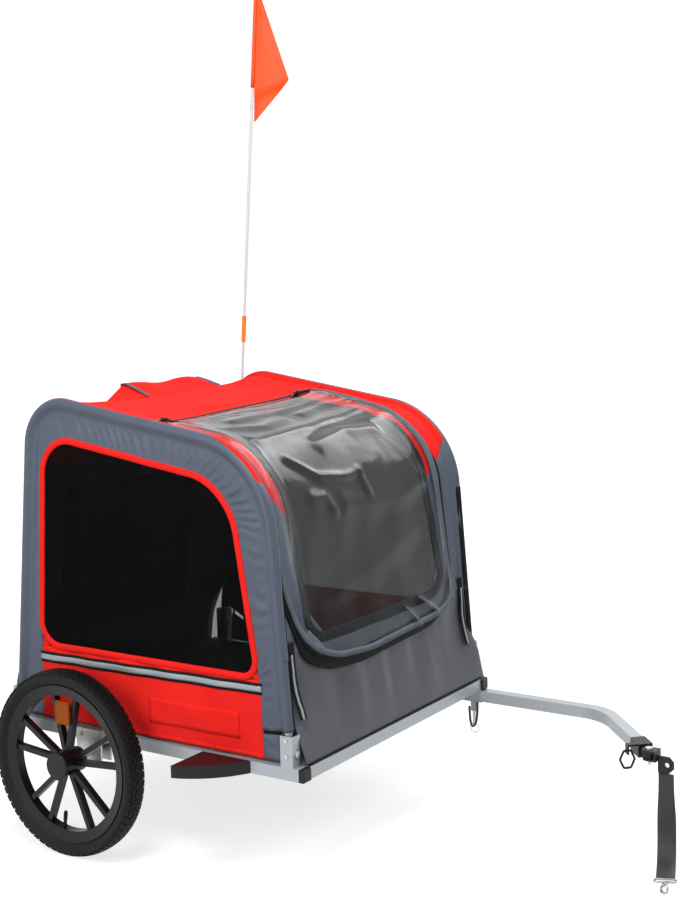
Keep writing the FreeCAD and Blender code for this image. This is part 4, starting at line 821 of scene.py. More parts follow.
class TRAILER_OT_side_walls(bpy.types.Operator):
    """Borders with their hoop sleeves, red lower panels, window edging and mesh"""
    bl_idname = "trailer.side_walls"
    bl_label = "Side walls"

    def execute(self, context):
        for name, side in SIDES.items():
            body = name + "_arch"
            self.border(context, name, side, body)
            self.lower_panel(context, name, side, body)
            self.edging(context, name, side, body)
            self.window(name, side, body)
        return {"FINISHED"}

    def border(self, context, name, side, body):
        """Grey cloth from the sleeve round the hoop to the red edging, puckered where it is sewn."""
        outer = hoop_line(BORDER_COUNTS)
        corners, radii = window_corners(context.scene.trailer_sizes.piping * 500)
        inner_points = [(RED_REAR, WALL_FOOT), (corners[0][0], 412), corners[3], corners[2], (corners[1][0], 412),
                        (RED_FRONT, WALL_FOOT)]
        inner = rounded(inner_points, [200, radii[3], radii[2], 200], INNER_COUNTS)
        travel = [0.0]
        for a, b in zip(outer, outer[1:]):
            travel.append(travel[-1] + (b - a).length)
        rows, low_rows = [], []
        for k, (hoop, edge) in enumerate(zip(outer, inner)):
            reach = (edge - hoop).length
            way = (outer[min(k + 5, len(outer) - 1)] - outer[max(k - 5, 0)]).normalized()
            square = Vector((way.y, -way.x))
            deep = through(PUCKERS, k)
            slant = 0.55 * ease(175, 200, k) - 0.5 * ease(150, 110, k)

            def puckers(u):
                fade = ease(15, 40, u) * (1 - ease(reach - 20, reach, u))
                along = travel[k] + slant * u
                fine = math.sin(math.tau * along / 27 + 5 * ripple(along / 110, u / 70, 3.0 + side))
                share = 0.6 + 1.1 * ripple(along / 45, u / 40, 9.0 + side)
                return fade * deep * share * fine + 1.5 * ease(14, 46, u) * ease(reach, reach - 40, u)

            profile = []
            if hoop.y > BRACKET_TOP[name] + 3:
                profile.append((14.5, -0.9))
                for step in range(17):
                    angle = math.radians(-42 - step * 276 / 16)
                    profile.append((SLEEVE * math.cos(angle), SLEEVE * math.sin(angle)))
                profile.append((13.5, 3.4))
                profile.append((17.0, 1.0))
            bare = not profile
            start = 24.0 if bare else 20.0
            for share in span(0, 1, 16):
                u = start + (reach - start) * share
                profile.append((u, 0.9 + puckers(u)))
            row = []
            for u, w in profile:
                flat = hoop + square * min(u, SQUARE)
                if u > SQUARE:
                    flat = flat.lerp(edge, (u - SQUARE) / (reach - SQUARE))
                bulge = swell(flat.y) * ease(18, reach, u)
                row.append(at(flat.x, side * (HOOP_Y + w + bulge), max(flat.y, WALL_FOOT)))
            (low_rows if bare else rows).append((k, row))
        pieces = []
        for label, part in (("upper", rows), ("rear_foot", [r for r in low_rows if r[0] < ROOF_ROW]),
                            ("front_foot", [r for r in low_rows if r[0] >= ROOF_ROW])):
            shape = grid([row for _, row in part])
            pieces.append(build(f"{name}_border_{label}", shape, grey_cloth(), "grey_nylon", body,
                                thickness=context.scene.trailer_sizes.cloth * 1000))
        leg = [p for p in outer[150:] if 322 < p.y < 700]
        # Black zip tape along the hoop's front leg. On the near side it is a narrow zip on the inner side of the
        # sleeve. On the far side it carries on round the sleeve's front to its outer side, where its black is painted
        # shade of the sleeve.
        turns = [math.radians(d) for d in (span(-62, -32, 5) if side < 0 else span(-58, 35, 9))]
        rows = [[at(p.x + ZIP_OVER_SLEEVE * math.cos(a), side * (HOOP_Y + ZIP_OVER_SLEEVE * math.sin(a)), p.y)
                 for a in turns] for p in leg]
        build(f"{name}_sleeve_zip", grid(rows), black_tape(), "black_webbing", body, thickness=0.8)
        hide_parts(f"{name}_side_cover")
        cut_sheet(pieces[0], pieces[1:])

    def lower_panel(self, context, name, side, body):
        """Red panel with a soft belly, and the reflective tape along its top."""
        def belly(x, z):
            tx, tz = (x - RED_REAR) / (RED_FRONT - RED_REAR), (z - WALL_FOOT) / (RED_TOP - WALL_FOOT)
            full = 5 * (math.sin(math.pi * tx) * math.sin(math.pi * tz)) ** 0.5 if 0 < tx < 1 and 0 < tz < 1 else 0
            wrinkle = 4 * ripple(x / 70, z / 60, 21 + side) * ease(0, 0.1, tx) * ease(1, 0.9, tx)
            return 0.6 + full + wrinkle

        def strip(label, low, high, proud, material, slot, count, lean=0.0, replaced=None):
            """A strip along the panel; lean lifts its front end."""
            rows = []
            for share in span(0, 1, count):
                row = []
                for x in span(RED_REAR - 0.5, RED_FRONT + 0.5, 62):
                    z = low + (high - low) * share + lean * (x - WINDOW_MIDDLE.x)
                    row.append(at(x, side * (HOOP_Y + belly(x, z) + proud), z))
                rows.append(row)
            return build(f"{name}_{label}", grid(rows), material, slot, body, thickness=1.0, replaced=replaced)

        foot = WALL_FOOT + 0.5
        panel = strip("lower_panel_cloth", foot, RED_TOP + 4, 0, red_cloth(), "red_nylon", 18,
                      replaced=f"{name}_lower_panel")
        cut_sheet(panel)
        half = context.scene.trailer_sizes.stripe * 500
        for label, wide, proud, material, slot, count in (
                ("stripe_backing", half, 1.3, black_tape(), "black_webbing", 5),
                ("stripe_reflector", half * 0.5, 2.5, reflective_tape(), "frame_paint", 4)):
            strip(label, STRIPE_Z - wide, STRIPE_Z + wide, proud, material, slot, count, STRIPE_RISE)
        strip("lower_hem", foot, 264, 1.2, red_cloth(), "red_nylon", 3)
        rows = [[at(x, side * (HOOP_Y + belly(x, z) + 1.4), z) for x in span(168, 405, 26)] for z in span(288, 342, 7)]
        build(f"{name}_bare_patch", grid(rows), red_cloth(), "red_nylon", body, thickness=0.8)
        corners, radii = window_corners(0)
        line = loop(corners, radii, 26, 12)
        for index, corner in enumerate(corners[:2]):
            corner = Vector(corner)
            arc = [q for q in line if (q - corner).length < radii[index]]
            foot = corner + Vector((-9 if index == 0 else 9, -14))
            rows = []
            for p in arc:
                steps = [p.lerp(foot, share) for share in span(0, 1, 5)]
                rows.append([at(q.x, side * (HOOP_Y + 0.8 + swell(q.y)), q.y) for q in steps])
            build(f"{name}_window_corner_{index}", grid(rows), red_cloth(), "red_nylon", body, thickness=1.0)

    def edging(self, context, name, side, body):
        """Domed red tape folded round the window's edge."""
        width = context.scene.trailer_sizes.piping * 1000
        corners, radii = window_corners(width / 2)
        line = loop(corners, radii, 26, 12)
        outs = normals(line, True)
        half = width / 2
        profile = [(-half, 0.3), (-half * 0.9, 2.6), (-half * 0.45, 3.7), (0, 4.0), (half * 0.45, 3.6),
                   (half * 0.82, 2.6), (half, 0.4), (half * 0.8, -1.8), (0, -2.6), (-half * 0.8, -1.8)]
        rows = []
        for k, (p, n) in enumerate(zip(line, outs)):
            sway = 0.7 * ripple(k / 5, 0.0, 31 + side)
            rows.append([at(p.x - n.x * (o + sway), side * (HOOP_Y + h + swell(p.y)), p.y - n.y * (o + sway))
                         for o, h in profile])
        shape = grid(rows, closed_rows=True, closed_columns=True)
        build(f"{name}_window_edging", shape, red_cloth(), "red_nylon", body, replaced=f"{name}_window_piping")

    def window(self, name, side, body):
        """Taut mesh, drawn in a little at its middle."""
        corners, radii = window_corners(1)

        def place(q, share):
            depth = -4 * (1 - share ** 3) + 1.2 * ripple(q.x / 120, q.y / 120, 41 + side) * (1 - share ** 6)
            return at(q.x, side * (HOOP_Y + depth + swell(q.y)), q.y)

        shape = filled(loop(corners, radii, 20, 10), WINDOW_MIDDLE, place)
        material = knitted_mesh("black_knitted_mesh", "#09090A", 0.58)
        piece = build(f"{name}_window_net", shape, material, "black_mesh", body, thickness=0.5,
                      replaced=f"{name}_window_mesh")
        cut_sheet(piece)


# Roof and rear wall

# Soft folds of the roof: points across and along it, height and half width
ROOF_FOLDS = (
    (((-250, 760), (-60, 800), (150, 790)), 3.0, 26),
    (((-200, 840), (0, 858), (240, 850)), 2.6, 30),
    (((-290, 905), (-120, 890), (60, 905)), 2.4, 24),
    (((60, 700), (260, 730)), 3.0, 30),
)
# Height across the roof at its back, where the folded flap holds the cloth up
TENT = ((-333, 0), (-250, -2), (-128, -2), (-78, 15), (0, 12), (150, 10), (205, -4), (270, -6), (333, 0))

# The flap: its ends across the roof, and the height of its fold between them
FLAP_NEAR, FLAP_FAR = -66.0, 190.0
FLAP_CROWN = ((-66, 15), (-40, 17), (0, 15), (40, 8), (85, 9), (118, 14), (158, 13), (180, 9), (190, 5))
# Half a zip slider with its tab: distance from the middle, width and height
ZIP_PULL = ((0, 6, 4), (5, 9, 8), (13, 8, 8), (16, 4, 6), (18, 3, 5), (38, 4, 4), (48, 6, 4), (50, 3, 3))
# Rear window: lower and upper edge along the cover, and half its width
REAR_SILL, REAR_HEAD, REAR_HALF = 149, 489, 210


class TRAILER_OT_roof(bpy.types.Operator):
    """Sagging red roof, the flap folded up at its back, and the rear wall"""
    bl_idname = "trailer.roof"
    bl_label = "Roof and rear wall"

    def execute(self, context):
        cloth = context.scene.trailer_sizes.cloth * 1000
        self.roof(cloth)
        self.flap(cloth * 0.8)
        self.rear(cloth)
        return {"FINISHED"}

    def roof(self, cloth):
        def place(y, share):
            s = REAR_SEAM + (zip_line(y) - 2 - REAR_SEAM) * share
            side = abs(y) / COVER_HALF
            broad = 2.5 * ripple(s / 150, y / 240, 51) + ridges(ROOF_FOLDS, y, s)
            tug = 2.2 * ripple(s / 30, y / 160, 55) * ease(0.6, 0.85, side)
            back = ease(along_roof(-55), along_roof(-125), s) * ease(REAR_SEAM + 10, REAR_SEAM + 90, s)
            flat = -0.6 + through(TENT, y) * back
            flat += broad * (1 - ease(0.6, 0.95, side)) + tug * (1 - ease(0.88, 1, side))
            return on_cover(y, s, flat + over_sleeve(y))

        columns = [o - HOOP_Y for o in (-1, 2, 5, 8)]
        columns += span(-COVER_HALF + 6, COVER_HALF - 6, 72) + [HOOP_Y - o for o in (9, 7, 5)]
        rows = [[place(y, share) for y in columns] for share in span(0, 1, 84)]
        roof = build("roof_cloth", grid(rows), red_cloth(), "red_nylon", thickness=cloth, replaced="roof_panel")
        cut_sheet(roof)
        line = [Vector((y, zip_line(y))) for y in span(-318, 300, 60)]
        cover_band("roof_zip_tape", line, [(-4, 0.6), (-2, 2.4), (2, 2.4), (4, 0.6)], black_tape(), "black_webbing")
        for index, (y, turn) in enumerate(((-290, 1), (244, -1))):
            self.pull(index, y, turn)

    def pull(self, index, y, turn):
        """Zip slider with its two tabs, lying on the tape."""
        points, faces = [], []
        for way, skew in ((1, 0.35), (-1, 0.1)):
            rings = []
            for t, w, h in ZIP_PULL:
                base = on_cover(y + turn * t * 0.8 * way, zip_line(y) + 4 + t * skew, 3.0)
                rings.append([base + Vector((w * a * 0.0006, w * b * 0.0003, h * c * 0.001)) for a, b, c in
                              ((1, -1, 0), (-1, 1, 0), (-1, 1, 1), (1, -1, 1))])
            join(points, faces, capped(rings))
        build(f"zip_pull_{index}", (points, faces), black_plastic(), "black_plastic")

    def flap(self, cloth):
        """Flap folded back on itself; its fold rises and falls along its length, and its ends are bound."""
        def place(y, x, height):
            """A point over the flat of the roof, before it turns down at the back."""
            sag = COVER_SAG * (1 - (abs(y) / COVER_HALF) ** 4)
            return at(x, y, COVER_TOP - sag - FALL * x + height + 1.0 * ripple(y / 60, x / 30, 61))

        def layer(y):
            """Section of the fold, from its sewn edge over the top, round the fold and back underneath."""
            top = through(FLAP_CROWN, y)
            front = -64 + 6 * ripple(y / 90, 0, 63)
            upper = [(front + (-134 - front) * share, 0.5 + top * ease(-0.2, 1.0, share)) for share in span(0, 1, 16)]
            under = [(-139, top - 1), (-142, top - 4), (-142, top - 8), (-138, top - 11), (-130, top - 12),
                     (-121, top - 13), (-112, top * 0.7 - 12)]
            return [(front + 16, -9)] + upper + under

        def slope(x, h, share):
            """Cloth that falls from the flap's near end to the roof."""
            foot = on_cover(-136 + 0.2 * x, along_roof(max(x, -128)), -1.0)
            crease = Vector((0, 0, 0.004 * ripple(share * 3, x / 25, 65)))
            return place(FLAP_NEAR + 4, x, h - 1.5).lerp(foot, share ** 0.8) + crease * math.sin(math.pi * share)

        rows = [[place(y, x, h) for x, h in layer(y)] for y in span(FLAP_NEAR, FLAP_FAR, 54)]
        piece = build("rolled_flap_cloth", grid(rows), red_cloth(), "red_nylon", thickness=cloth,
                      replaced="roof_flap_roll")
        cut_sheet(piece)
        rows = [[slope(x, h, share) for x, h in layer(FLAP_NEAR)[1:21]] for share in span(0, 1, 14)]
        build("rolled_flap_slope", grid(rows), red_cloth(), "red_nylon", thickness=cloth)
        for index, y in enumerate((FLAP_NEAR + 3, FLAP_FAR - 3)):
            rows = [[place(y + o, x, h + 1.3) for o in (-5.5, 0, 5.5)] for x, h in layer(y)[1:21]]
            build(f"rolled_flap_binding_{index}", grid(rows), binding_tape(), "grey_nylon", thickness=1.4)

    def rear(self, cloth):
        """Grey wall round a window of opaque black cloth with red edging; the window's black is painted shade that
        keeps the inside dark.
        """
        def place(y, s, depth):
            return on_cover(y, s, depth + 3.0 * ripple(y / 90, s / 200, 71) * ease(0, 60, s))

        strips = {"sill": (-COVER_HALF, COVER_HALF, 0, REAR_SILL + 12),
                  "head": (-COVER_HALF, COVER_HALF, REAR_HEAD - 10, REAR_SEAM + 2),
                  "right": (-COVER_HALF, -REAR_HALF, REAR_SILL, REAR_HEAD),
                  "left": (REAR_HALF, COVER_HALF, REAR_SILL, REAR_HEAD)}
        pieces = []
        for name, (near, far, low, high) in strips.items():
            rows = [[place(y, s, 0.0) for y in span(near, far, 34)] for s in span(low, high, 22)]
            pieces.append(build(f"rear_wall_{name}", grid(rows), front_cloth(), "grey_nylon", thickness=cloth))
        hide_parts("rear_panel")
        cut_sheet(pieces[0], pieces[1:])
        # The rear window is opaque black cloth in place of mesh: painted shade that keeps the inside dark.
        rows = [[place(y, s, -1.5) for y in span(-REAR_HALF - 6, REAR_HALF + 6, 40)]
                for s in span(REAR_SILL - 6, REAR_HEAD + 6, 30)]
        net = build("rear_window_net", grid(rows), dark_cloth(), "black_mesh", thickness=0.8, replaced="rear_mesh")
        cut_sheet(net)
        low, high = REAR_SILL + 5, REAR_HEAD - 5
        line = loop([(-REAR_HALF, low), (REAR_HALF, low), (REAR_HALF, high), (-REAR_HALF, high)], [40] * 4, 20, 8)
        cover_band("rear_window_edging", line, [(-9, 1.6), (0, 3.6), (9, 1.6)], red_cloth(), "red_nylon", closed=True)


# Front wall and door

# Edges of the clear sheet: its near and far edge by the distance along the cover, and its lower end by the place across
RAIN_NEAR = ((930, -318), (1019, -328), (1400, -331), (1488, -319), (1561, -302), (1609, -288), (1700, -284))
RAIN_FAR = ((930, 307), (1046, 296), (1115, 284), (1195, 282), (1282, 286), (1609, 282), (1700, 280))
RAIN_END = ((-300, 1585), (-285, 1612), (-257, 1648), (-203, 1668), (-99, 1677), (53, 1670), (160, 1665), (223, 1657),
            (249, 1647), (268, 1628), (284, 1585))
# Creases that catch the light on the clear sheet
RAIN_CREASES = (
    (((-190, 1250), (-127, 1297), (-45, 1308), (11, 1306)), 9.0, 9),
    (((11, 1306), (20, 1350)), 6.0, 9),
    (((-171, 1338), (-129, 1342), (-109, 1372)), 5.0, 13),
    (((-67, 1364), (33, 1375), (151, 1375), (223, 1355)), 7.0, 24),
    (((-150, 1070), (85, 1042), (270, 1020)), 5.0, 15),
    (((-220, 1185), (51, 1150), (217, 1130)), 6.0, 18),
    (((-250, 1110), (-120, 1130), (-20, 1100)), 5.0, 16),
    (((60, 1090), (180, 1060), (280, 1075)), 5.0, 14),
    (((-60, 1230), (60, 1200), (160, 1215)), 5.0, 18),
    (((-200, 1560), (0, 1500), (150, 1470)), 3.0, 30),
    (((120, 1620), (165, 1660)), 7.0, 10),
    (((60, 1630), (85, 1672)), 6.0, 9),
)
# Upright zip at the far end of the front wall: distance from the middle by the distance along the cover
FAR_ZIP = ((1600, 326), (1665, 326), (1750, 311), (1802, 303))
TAPE_WIDE = 11
# Distances along the cover of the clear sheet's head and foot, and the middle of the door's mesh
RAIN_HEAD, RAIN_FOOT, MESH_MIDDLE = 960, 1600, Vector((0, 1390))


class TRAILER_OT_front(bpy.types.Operator):
    """Lower front wall, gussets, mesh door and the clear rain cover"""
    bl_idname = "trailer.front"
    bl_label = "Front wall and door"

    def execute(self, context):
        cloth = context.scene.trailer_sizes.cloth * 1000
        self.wall(cloth)
        self.gussets(cloth)
        self.door(cloth)
        self.rain_cover()
        return {"FINISHED"}

    def wall(self, cloth):
        """Grey wall that widens to the rail's ends, with soft upright folds."""
        def place(y, share):
            top = MESH_SILL - 8 - 50 * ease(200, 250, abs(y)) * ease(270, 255, abs(y))
            s = top + (HEM - 1 - top) * share
            down = min(max((s - SILL) / (HEM - SILL), 0.0), 1.0)
            fold = (14 * ripple(y / 85 + 0.35 * down, down * 0.7, 81) + 2 * ripple(y / 30, down, 83)) * math.sin(
                math.pi * down) ** 0.6 - 4.0 * math.sin(math.pi * down)
            return on_cover(y * (1 + (0.048 if y > 0 else 0.0) * ease(1690, 1800, s)), s, fold)

        rows = [[place(y, share) for y in span(-COVER_HALF, COVER_HALF, 96)] for share in span(0, 1, 42)]
        wall = build("front_wall_cloth", grid(rows), front_cloth(), "grey_nylon", thickness=cloth,
                     replaced="front_panel")
        cut_sheet(wall)
        line = [Vector((y, HEM - 3.5)) for y in span(-333, 333, 60)]
        cover_band("front_hem", line, [(-2.5, 1.2), (2.5, 1.2)], black_tape(), "black_webbing")
        for name, side in SIDES.items():
            line = []
            for s in span(1604, 1767, 40):
                inset = 318 if side < 0 else through(FAR_ZIP, s)
                line.append(Vector((side * inset, s)))
            cover_band(f"{name}_side_zip", line, [(-10, 2.6), (-5, 3.6), (5, 3.6), (10, 2.6)], black_tape(),
                       "black_webbing")
            wavy = [p + Vector((1.4 * ripple(k / 4, 0, 87 + side), 0)) for k, p in enumerate(line)]
            cover_band(f"{name}_side_zip_light", wavy[6:], [(-3, 4.2), (0, 5.0), (3, 4.2)], reflective_tape(),
                       "frame_paint")

    def gussets(self, cloth):
        """Strips between the hoops and the door: red over the roof, grey below a slanting seam."""
        for name, side in SIDES.items():
            pieces = []
            for label, material, slot in (("red", red_cloth(), "red_nylon"), ("grey", grey_cloth(), "grey_nylon")):
                rows = []
                for share in span(0, 1, 24):
                    middle = MESH_HALF - 6 + (HOOP_Y - MESH_HALF) * share
                    start, end = ((zip_line(side * middle) - 1, red_end(middle) + 2) if label == "red"
                                  else (red_end(middle), MESH_SILL + 14))
                    row = []
                    for s in span(start, end, 46):
                        over = -6 + 13 * ease(1110, 1190, s) if side < 0 else -6
                        y = MESH_HALF - 6 + (HOOP_Y + over - MESH_HALF + 6) * share
                        row.append(on_cover(side * y, s, 1.8 * ripple(s / 60, y / 40, 91 + side) + over_sleeve(y)))
                    rows.append(row)
                pieces.append(build(f"{name}_gusset_{label}", grid(rows), material, slot, thickness=cloth))
            cut_sheet(pieces[0], pieces[1:])
            if side < 0:
                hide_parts("front_gussets")

    def head(self, label, body, starts, ends, cloth):
        """Dark cloth between the zip and the mesh."""
        rows = []
        for share in span(0, 1, 16):
            row = []
            for y in span(-MESH_HALF - 4, MESH_HALF + 4, 50):
                s = starts(y) + (ends(y) - starts(y)) * share
                row.append(on_cover(y, s, -1.2 + 2.0 * ripple(y / 110, s / 90, 101)))
            rows.append(row)
        return build(label, grid(rows), dark_cloth(), "black_mesh", body, thickness=cloth)

    def door(self, cloth):
        """Mesh with a broad black edge, and the plain dark cloth between it and the zip."""
        self.head("door_zip_strip", "chassis", zip_line, lambda y: HINGE + 0.5, cloth)
        top = self.head("door_head_cloth", "front_door", lambda y: HINGE + 1,
                        lambda y: MESH_HEAD + 10 + 45 * ease(195, 245, abs(y)), cloth)
        outline = [(-MESH_HALF, MESH_SILL), (MESH_HALF, MESH_SILL), (MESH_HALF, MESH_HEAD), (-MESH_HALF, MESH_HEAD)]
        line = loop(outline, [48, 62, 62, 62], 26, 12)

        def place(q, share):
            return on_cover(q.x, q.y, -2.0 + 2.4 * ripple(q.x / 130, q.y / 110, 103) * (1 - share ** 6))

        shape = filled(line, MESH_MIDDLE, place, (1.0, 0.92, 0.82, 0.7, 0.56, 0.42, 0.28, 0.14))
        material = knitted_mesh("charcoal_knitted_mesh", "#161514", 0.53)
        net = build("door_net", shape, material, "black_mesh", "front_door", thickness=0.5, replaced="front_mesh")
        cut_sheet(net, [top])
        wobble = [p + Vector((3 * ripple(k / 7, 0, 105), 3 * ripple(k / 7, 0, 107))) for k, p in enumerate(line)]
        cover_band("door_net_edging", wobble, [(-12, 0.2), (-9, 2.0), (9, 2.0), (12, 0.2)], black_tape(),
                   "black_webbing", "front_door", closed=True)

    def rain_lift(self, y, s):
        """Height of the clear sheet off the cloth."""
        near, far = through(RAIN_NEAR, s), through(RAIN_FAR, s)
        inset = ease(0, 30, min(y - near, far - y))
        broad = 4.5 * ripple(y / 190, s / 150, 111) + 2.0 * ripple(y / 80 + s / 200, s / 85, 113)
        loose = (13 + 8 * ease(260, 120, abs(y))) * ease(SILL - 70, SILL + 30, s)
        raised = 4.0 + (3.5 + broad + ridges(RAIN_CREASES, y, s)) * inset + loose
        return 1.5 + raised * ease(0, 55, s - zip_line(y))

    def rain_across(self, s, share):
        """Place across the clear sheet, from its near to its far edge."""
        near, far = through(RAIN_NEAR, s), through(RAIN_FAR, s)
        return near + (far - near) * share

    def rain_part(self, label, body, first, last, count, replaced=None):
        """A part of the clear sheet between two lines across it."""
        rows = []
        for share in span(0, 1, 104):
            start, end = first(self.rain_across(RAIN_HEAD, share)), last(self.rain_across(RAIN_FOOT, share))
            row = []
            for s in span(start, end, count):
                y = self.rain_across(s, share)
                row.append(on_cover(y, s, self.rain_lift(y, s)))
            rows.append(row)
        return build(label, grid(rows), clear_vinyl(), "clear_vinyl", body, thickness=0.5, replaced=replaced)

    def turned_in(self, p):
        """How far the edge tape lies inside the edge: outside it on the near side, inside it elsewhere."""
        return max(ease(1480, 1600, p.y), ease(-200, 0, p.x))

    def rain_binding(self, label, path, body):
        """Grey tape along an edge of the clear sheet."""
        rows = []
        for p, n in zip(path, normals(path, False)):
            height = self.rain_lift(p.x, p.y)
            back = TAPE_WIDE * self.turned_in(p)
            rows.append([on_cover(p.x + n.x * (o - back), p.y + n.y * (o - back), height + h)
                         for o, h in ((-1, -1.4), (-1, 1.2), (5, 2.0), (12, 1.2))])
        return build(label, grid(rows), binding_tape(), "grey_nylon", body, thickness=0.9)

    def rain_cover(self):
        """Clear sheet with soft waves and a few creases, bound in grey, hanging free at its round bottom."""
        strip = self.rain_part("rain_cover_head", "chassis", lambda y: zip_line(y) + 3, lambda y: HINGE + 0.4, 14)
        sheet = self.rain_part("rain_cover_sheet", "front_door", lambda y: HINGE + 0.6,
                               lambda y: through(RAIN_END, y), 116, "rain_cover")
        path = [Vector((through(RAIN_NEAR, s), s)) for s in span(HINGE + 1, 1588, 70)]
        path += [Vector((y, through(RAIN_END, y))) for y in span(-285, 276, 120)]
        path += [Vector((through(RAIN_FAR, s), s)) for s in span(1585, HINGE + 1, 70)]
        edge = self.rain_binding("rain_cover_binding", path, "front_door")
        # Black zip tape inside the binding. Along the round bottom it widens from the near corner to the middle and
        # narrows toward the far corner; this extra width is a painted shadow under the sheet's lower edge.
        rows = []
        for p, n in zip(path, normals(path, False)):
            if p.y > 1270:
                # Share of the painted shadow: full along the bottom from the near corner to the middle.
                low = ease(1590, 1640, p.y) * ease(270, 150, p.x)
                wide = (7 + 13 * low) * ease(1270, 1330, p.y)
                inner = TAPE_WIDE - TAPE_WIDE * self.turned_in(p)
                rows.append([on_cover(p.x + n.x * (inner + o), p.y + n.y * (inner + o), h)
                             for o, h in ((-7, 2.2), (0, 4.4), (wide, 4.4), (wide + 3, 2.0))])
        build("rain_cover_zip", grid(rows), black_tape(), "black_webbing", thickness=1.0)
        path = [Vector((through(RAIN_FAR, s), s)) for s in span(HINGE, zip_line(300) + 2, 16)]
        ends = self.rain_binding("rain_cover_head_binding", path, "chassis")
        cut_sheet(sheet, [strip, edge, ends])
        for name, side in (("near", -1), ("far", 1)):
            rows = []
            for a in span(-26, 26, 9):
                row = []
                for b in span(-10, 10, 5):
                    y, s = side * (262 - 0.55 * a - 0.8 * b), 1622 + 0.85 * a - 0.55 * b
                    row.append(on_cover(y, s, self.rain_lift(y, s) + 1.6))
                rows.append(row)
            build(f"{name}_corner_tab", grid(rows), binding_tape(), "grey_nylon", "front_door", thickness=1.2)


# Wheels

# Height of the reflector over the axle, and in degrees the place of the valve round the rim
REFLECTOR_UP, VALVE_TURN = 108, 262


class TRAILER_OT_tyres(bpy.types.Operator):
    """Tyres with block tread, and the reflectors"""
    bl_idname = "trailer.tyres"
    bl_label = "Tyres and reflectors"

    def execute(self, context):
        for name, side in SIDES.items():
            self.tyre(context, name, side)
            self.reflector(name, side)
        return {"FINISHED"}

    def tyre(self, context, name, side):
        """Tyre body with its tread blocks and its valve."""
        middle = WHEEL_Y * side
        profile = [(161, 13), (167, 13.2), (172, 18.5), (181, 22.6), (188, 22), (192.3, 18.5), (194, 13), (194.8, 6),
                   (195, 0)]
        profile += [(r, -a) for r, a in reversed(profile[:-1])]
        profile += [(161, -9), (167, -9), (185, -17), (190, 0), (185, 17), (167, 9), (161, 9)]
        steps = 120
        rows = []
        for angle in ring(steps):
            rows.append([at(r * math.cos(angle), middle + a, WHEEL_Z + r * math.sin(angle)) for r, a in profile])
        points, faces = grid(rows, closed_rows=True, closed_columns=True)
        count = context.scene.trailer_sizes.tread_rows
        pitch = 2 * math.pi / count

        def block(turn, wide, low, high, slant, base, top):
            """One tread block: its corners at the base and, drawn in, at the top."""
            corners = []
            for radius, shrink in ((base, 1.0), (top, 0.93)):
                for t, a in ((-1, low), (1, low), (1, high), (-1, high)):
                    centre = (low + high) / 2
                    across = centre + (a - centre) * shrink
                    angle = turn + pitch * (wide * t * shrink + slant * across / 20)
                    reach = radius - (across / 30) ** 2 * 7
                    corners.append(at(reach * math.cos(angle), middle + across, WHEEL_Z + reach * math.sin(angle)))
            join(points, faces, (corners, ((4, 5, 6, 7), (0, 1, 5, 4), (1, 2, 6, 5), (2, 3, 7, 6), (3, 0, 4, 7))))

        for k in range(count):
            turn = pitch * k
            block(turn, 0.45, -6.6, -0.6, 0.5, 194.4, 197.0)
            block(turn + pitch * 0.5, 0.45, 0.6, 6.6, -0.5, 194.4, 197.0)
            for sign in (-1, 1):
                low, high = sorted((sign * 7.8, sign * 14.8))
                block(turn + pitch * 0.25, 0.44, low, high, 0.6 * sign, 194.8, 197.1)
                low, high = sorted((sign * 16.0, sign * 21.5))
                block(turn + pitch * 0.75, 0.42, low, high, 0.2 * sign, 194.6, 196.4)
        stem = []
        way = toward(VALVE_TURN)
        for reach, radius in ((160, 4), (138, 4), (130, 3.4), (128, 4.3), (112, 4.3), (109, 2.6)):
            row = []
            for angle in ring(14):
                out = Vector((-way.y, way.x)) * math.cos(angle) * radius
                row.append(at(way.x * reach + out.x, middle + math.sin(angle) * radius,
                              WHEEL_Z + way.y * reach + out.y))
            stem.append(row)
        join(points, faces, capped(stem))
        piece = build(f"{name}_block_tyre", (points, faces), tyre_rubber(), "tyre_rubber", f"{name}_wheel",
                      replaced=f"{name}_tyre")
        for polygon in piece.data.polygons:
            polygon.use_smooth = polygon.index < steps * len(profile)

    def reflector(self, name, side):
        """Amber lens in a raised frame, clipped across a pair of spokes."""
        middle, z = WHEEL_Y * side, WHEEL_Z + REFLECTOR_UP
        rings = []
        for grow, depth in ((0, 7.2), (0, 12.0), (-1.5, 13.8), (-4.0, 13.8), (-4.6, 12.9)):
            wide, high = 21 + grow, 25 + grow
            outline = loop([(-wide, -high), (wide, -high), (wide, high), (-wide, high)], [5 + grow * 0.5] * 4, 4, 5)
            rings.append([at(p.x, middle + side * depth, z + p.y) for p in outline])
        build(f"{name}_spoke_reflector", capped(rings), amber_lens(), "amber_plastic", f"{name}_wheel",
              replaced=f"{name}_reflector", smooth=False)


# Flag

# Foot of the pole, its top, and in degrees its lean and the way that the pennant points
POLE_X, POLE_Y, POLE_FOOT, POLE_TOP, POLE_LEAN, PENNANT_TURN = -199, 361, 229, 1888, 5.3, 32.3
# The pennant: height at the pole, length of its sleeve and radius of the sleeve in metres
PENNANT_HIGH, PENNANT_SLEEVE, PENNANT_ROUND = 318, 236, 0.0046
# Share of its height at which the pennant is widest
PENNANT_TIP = 0.69


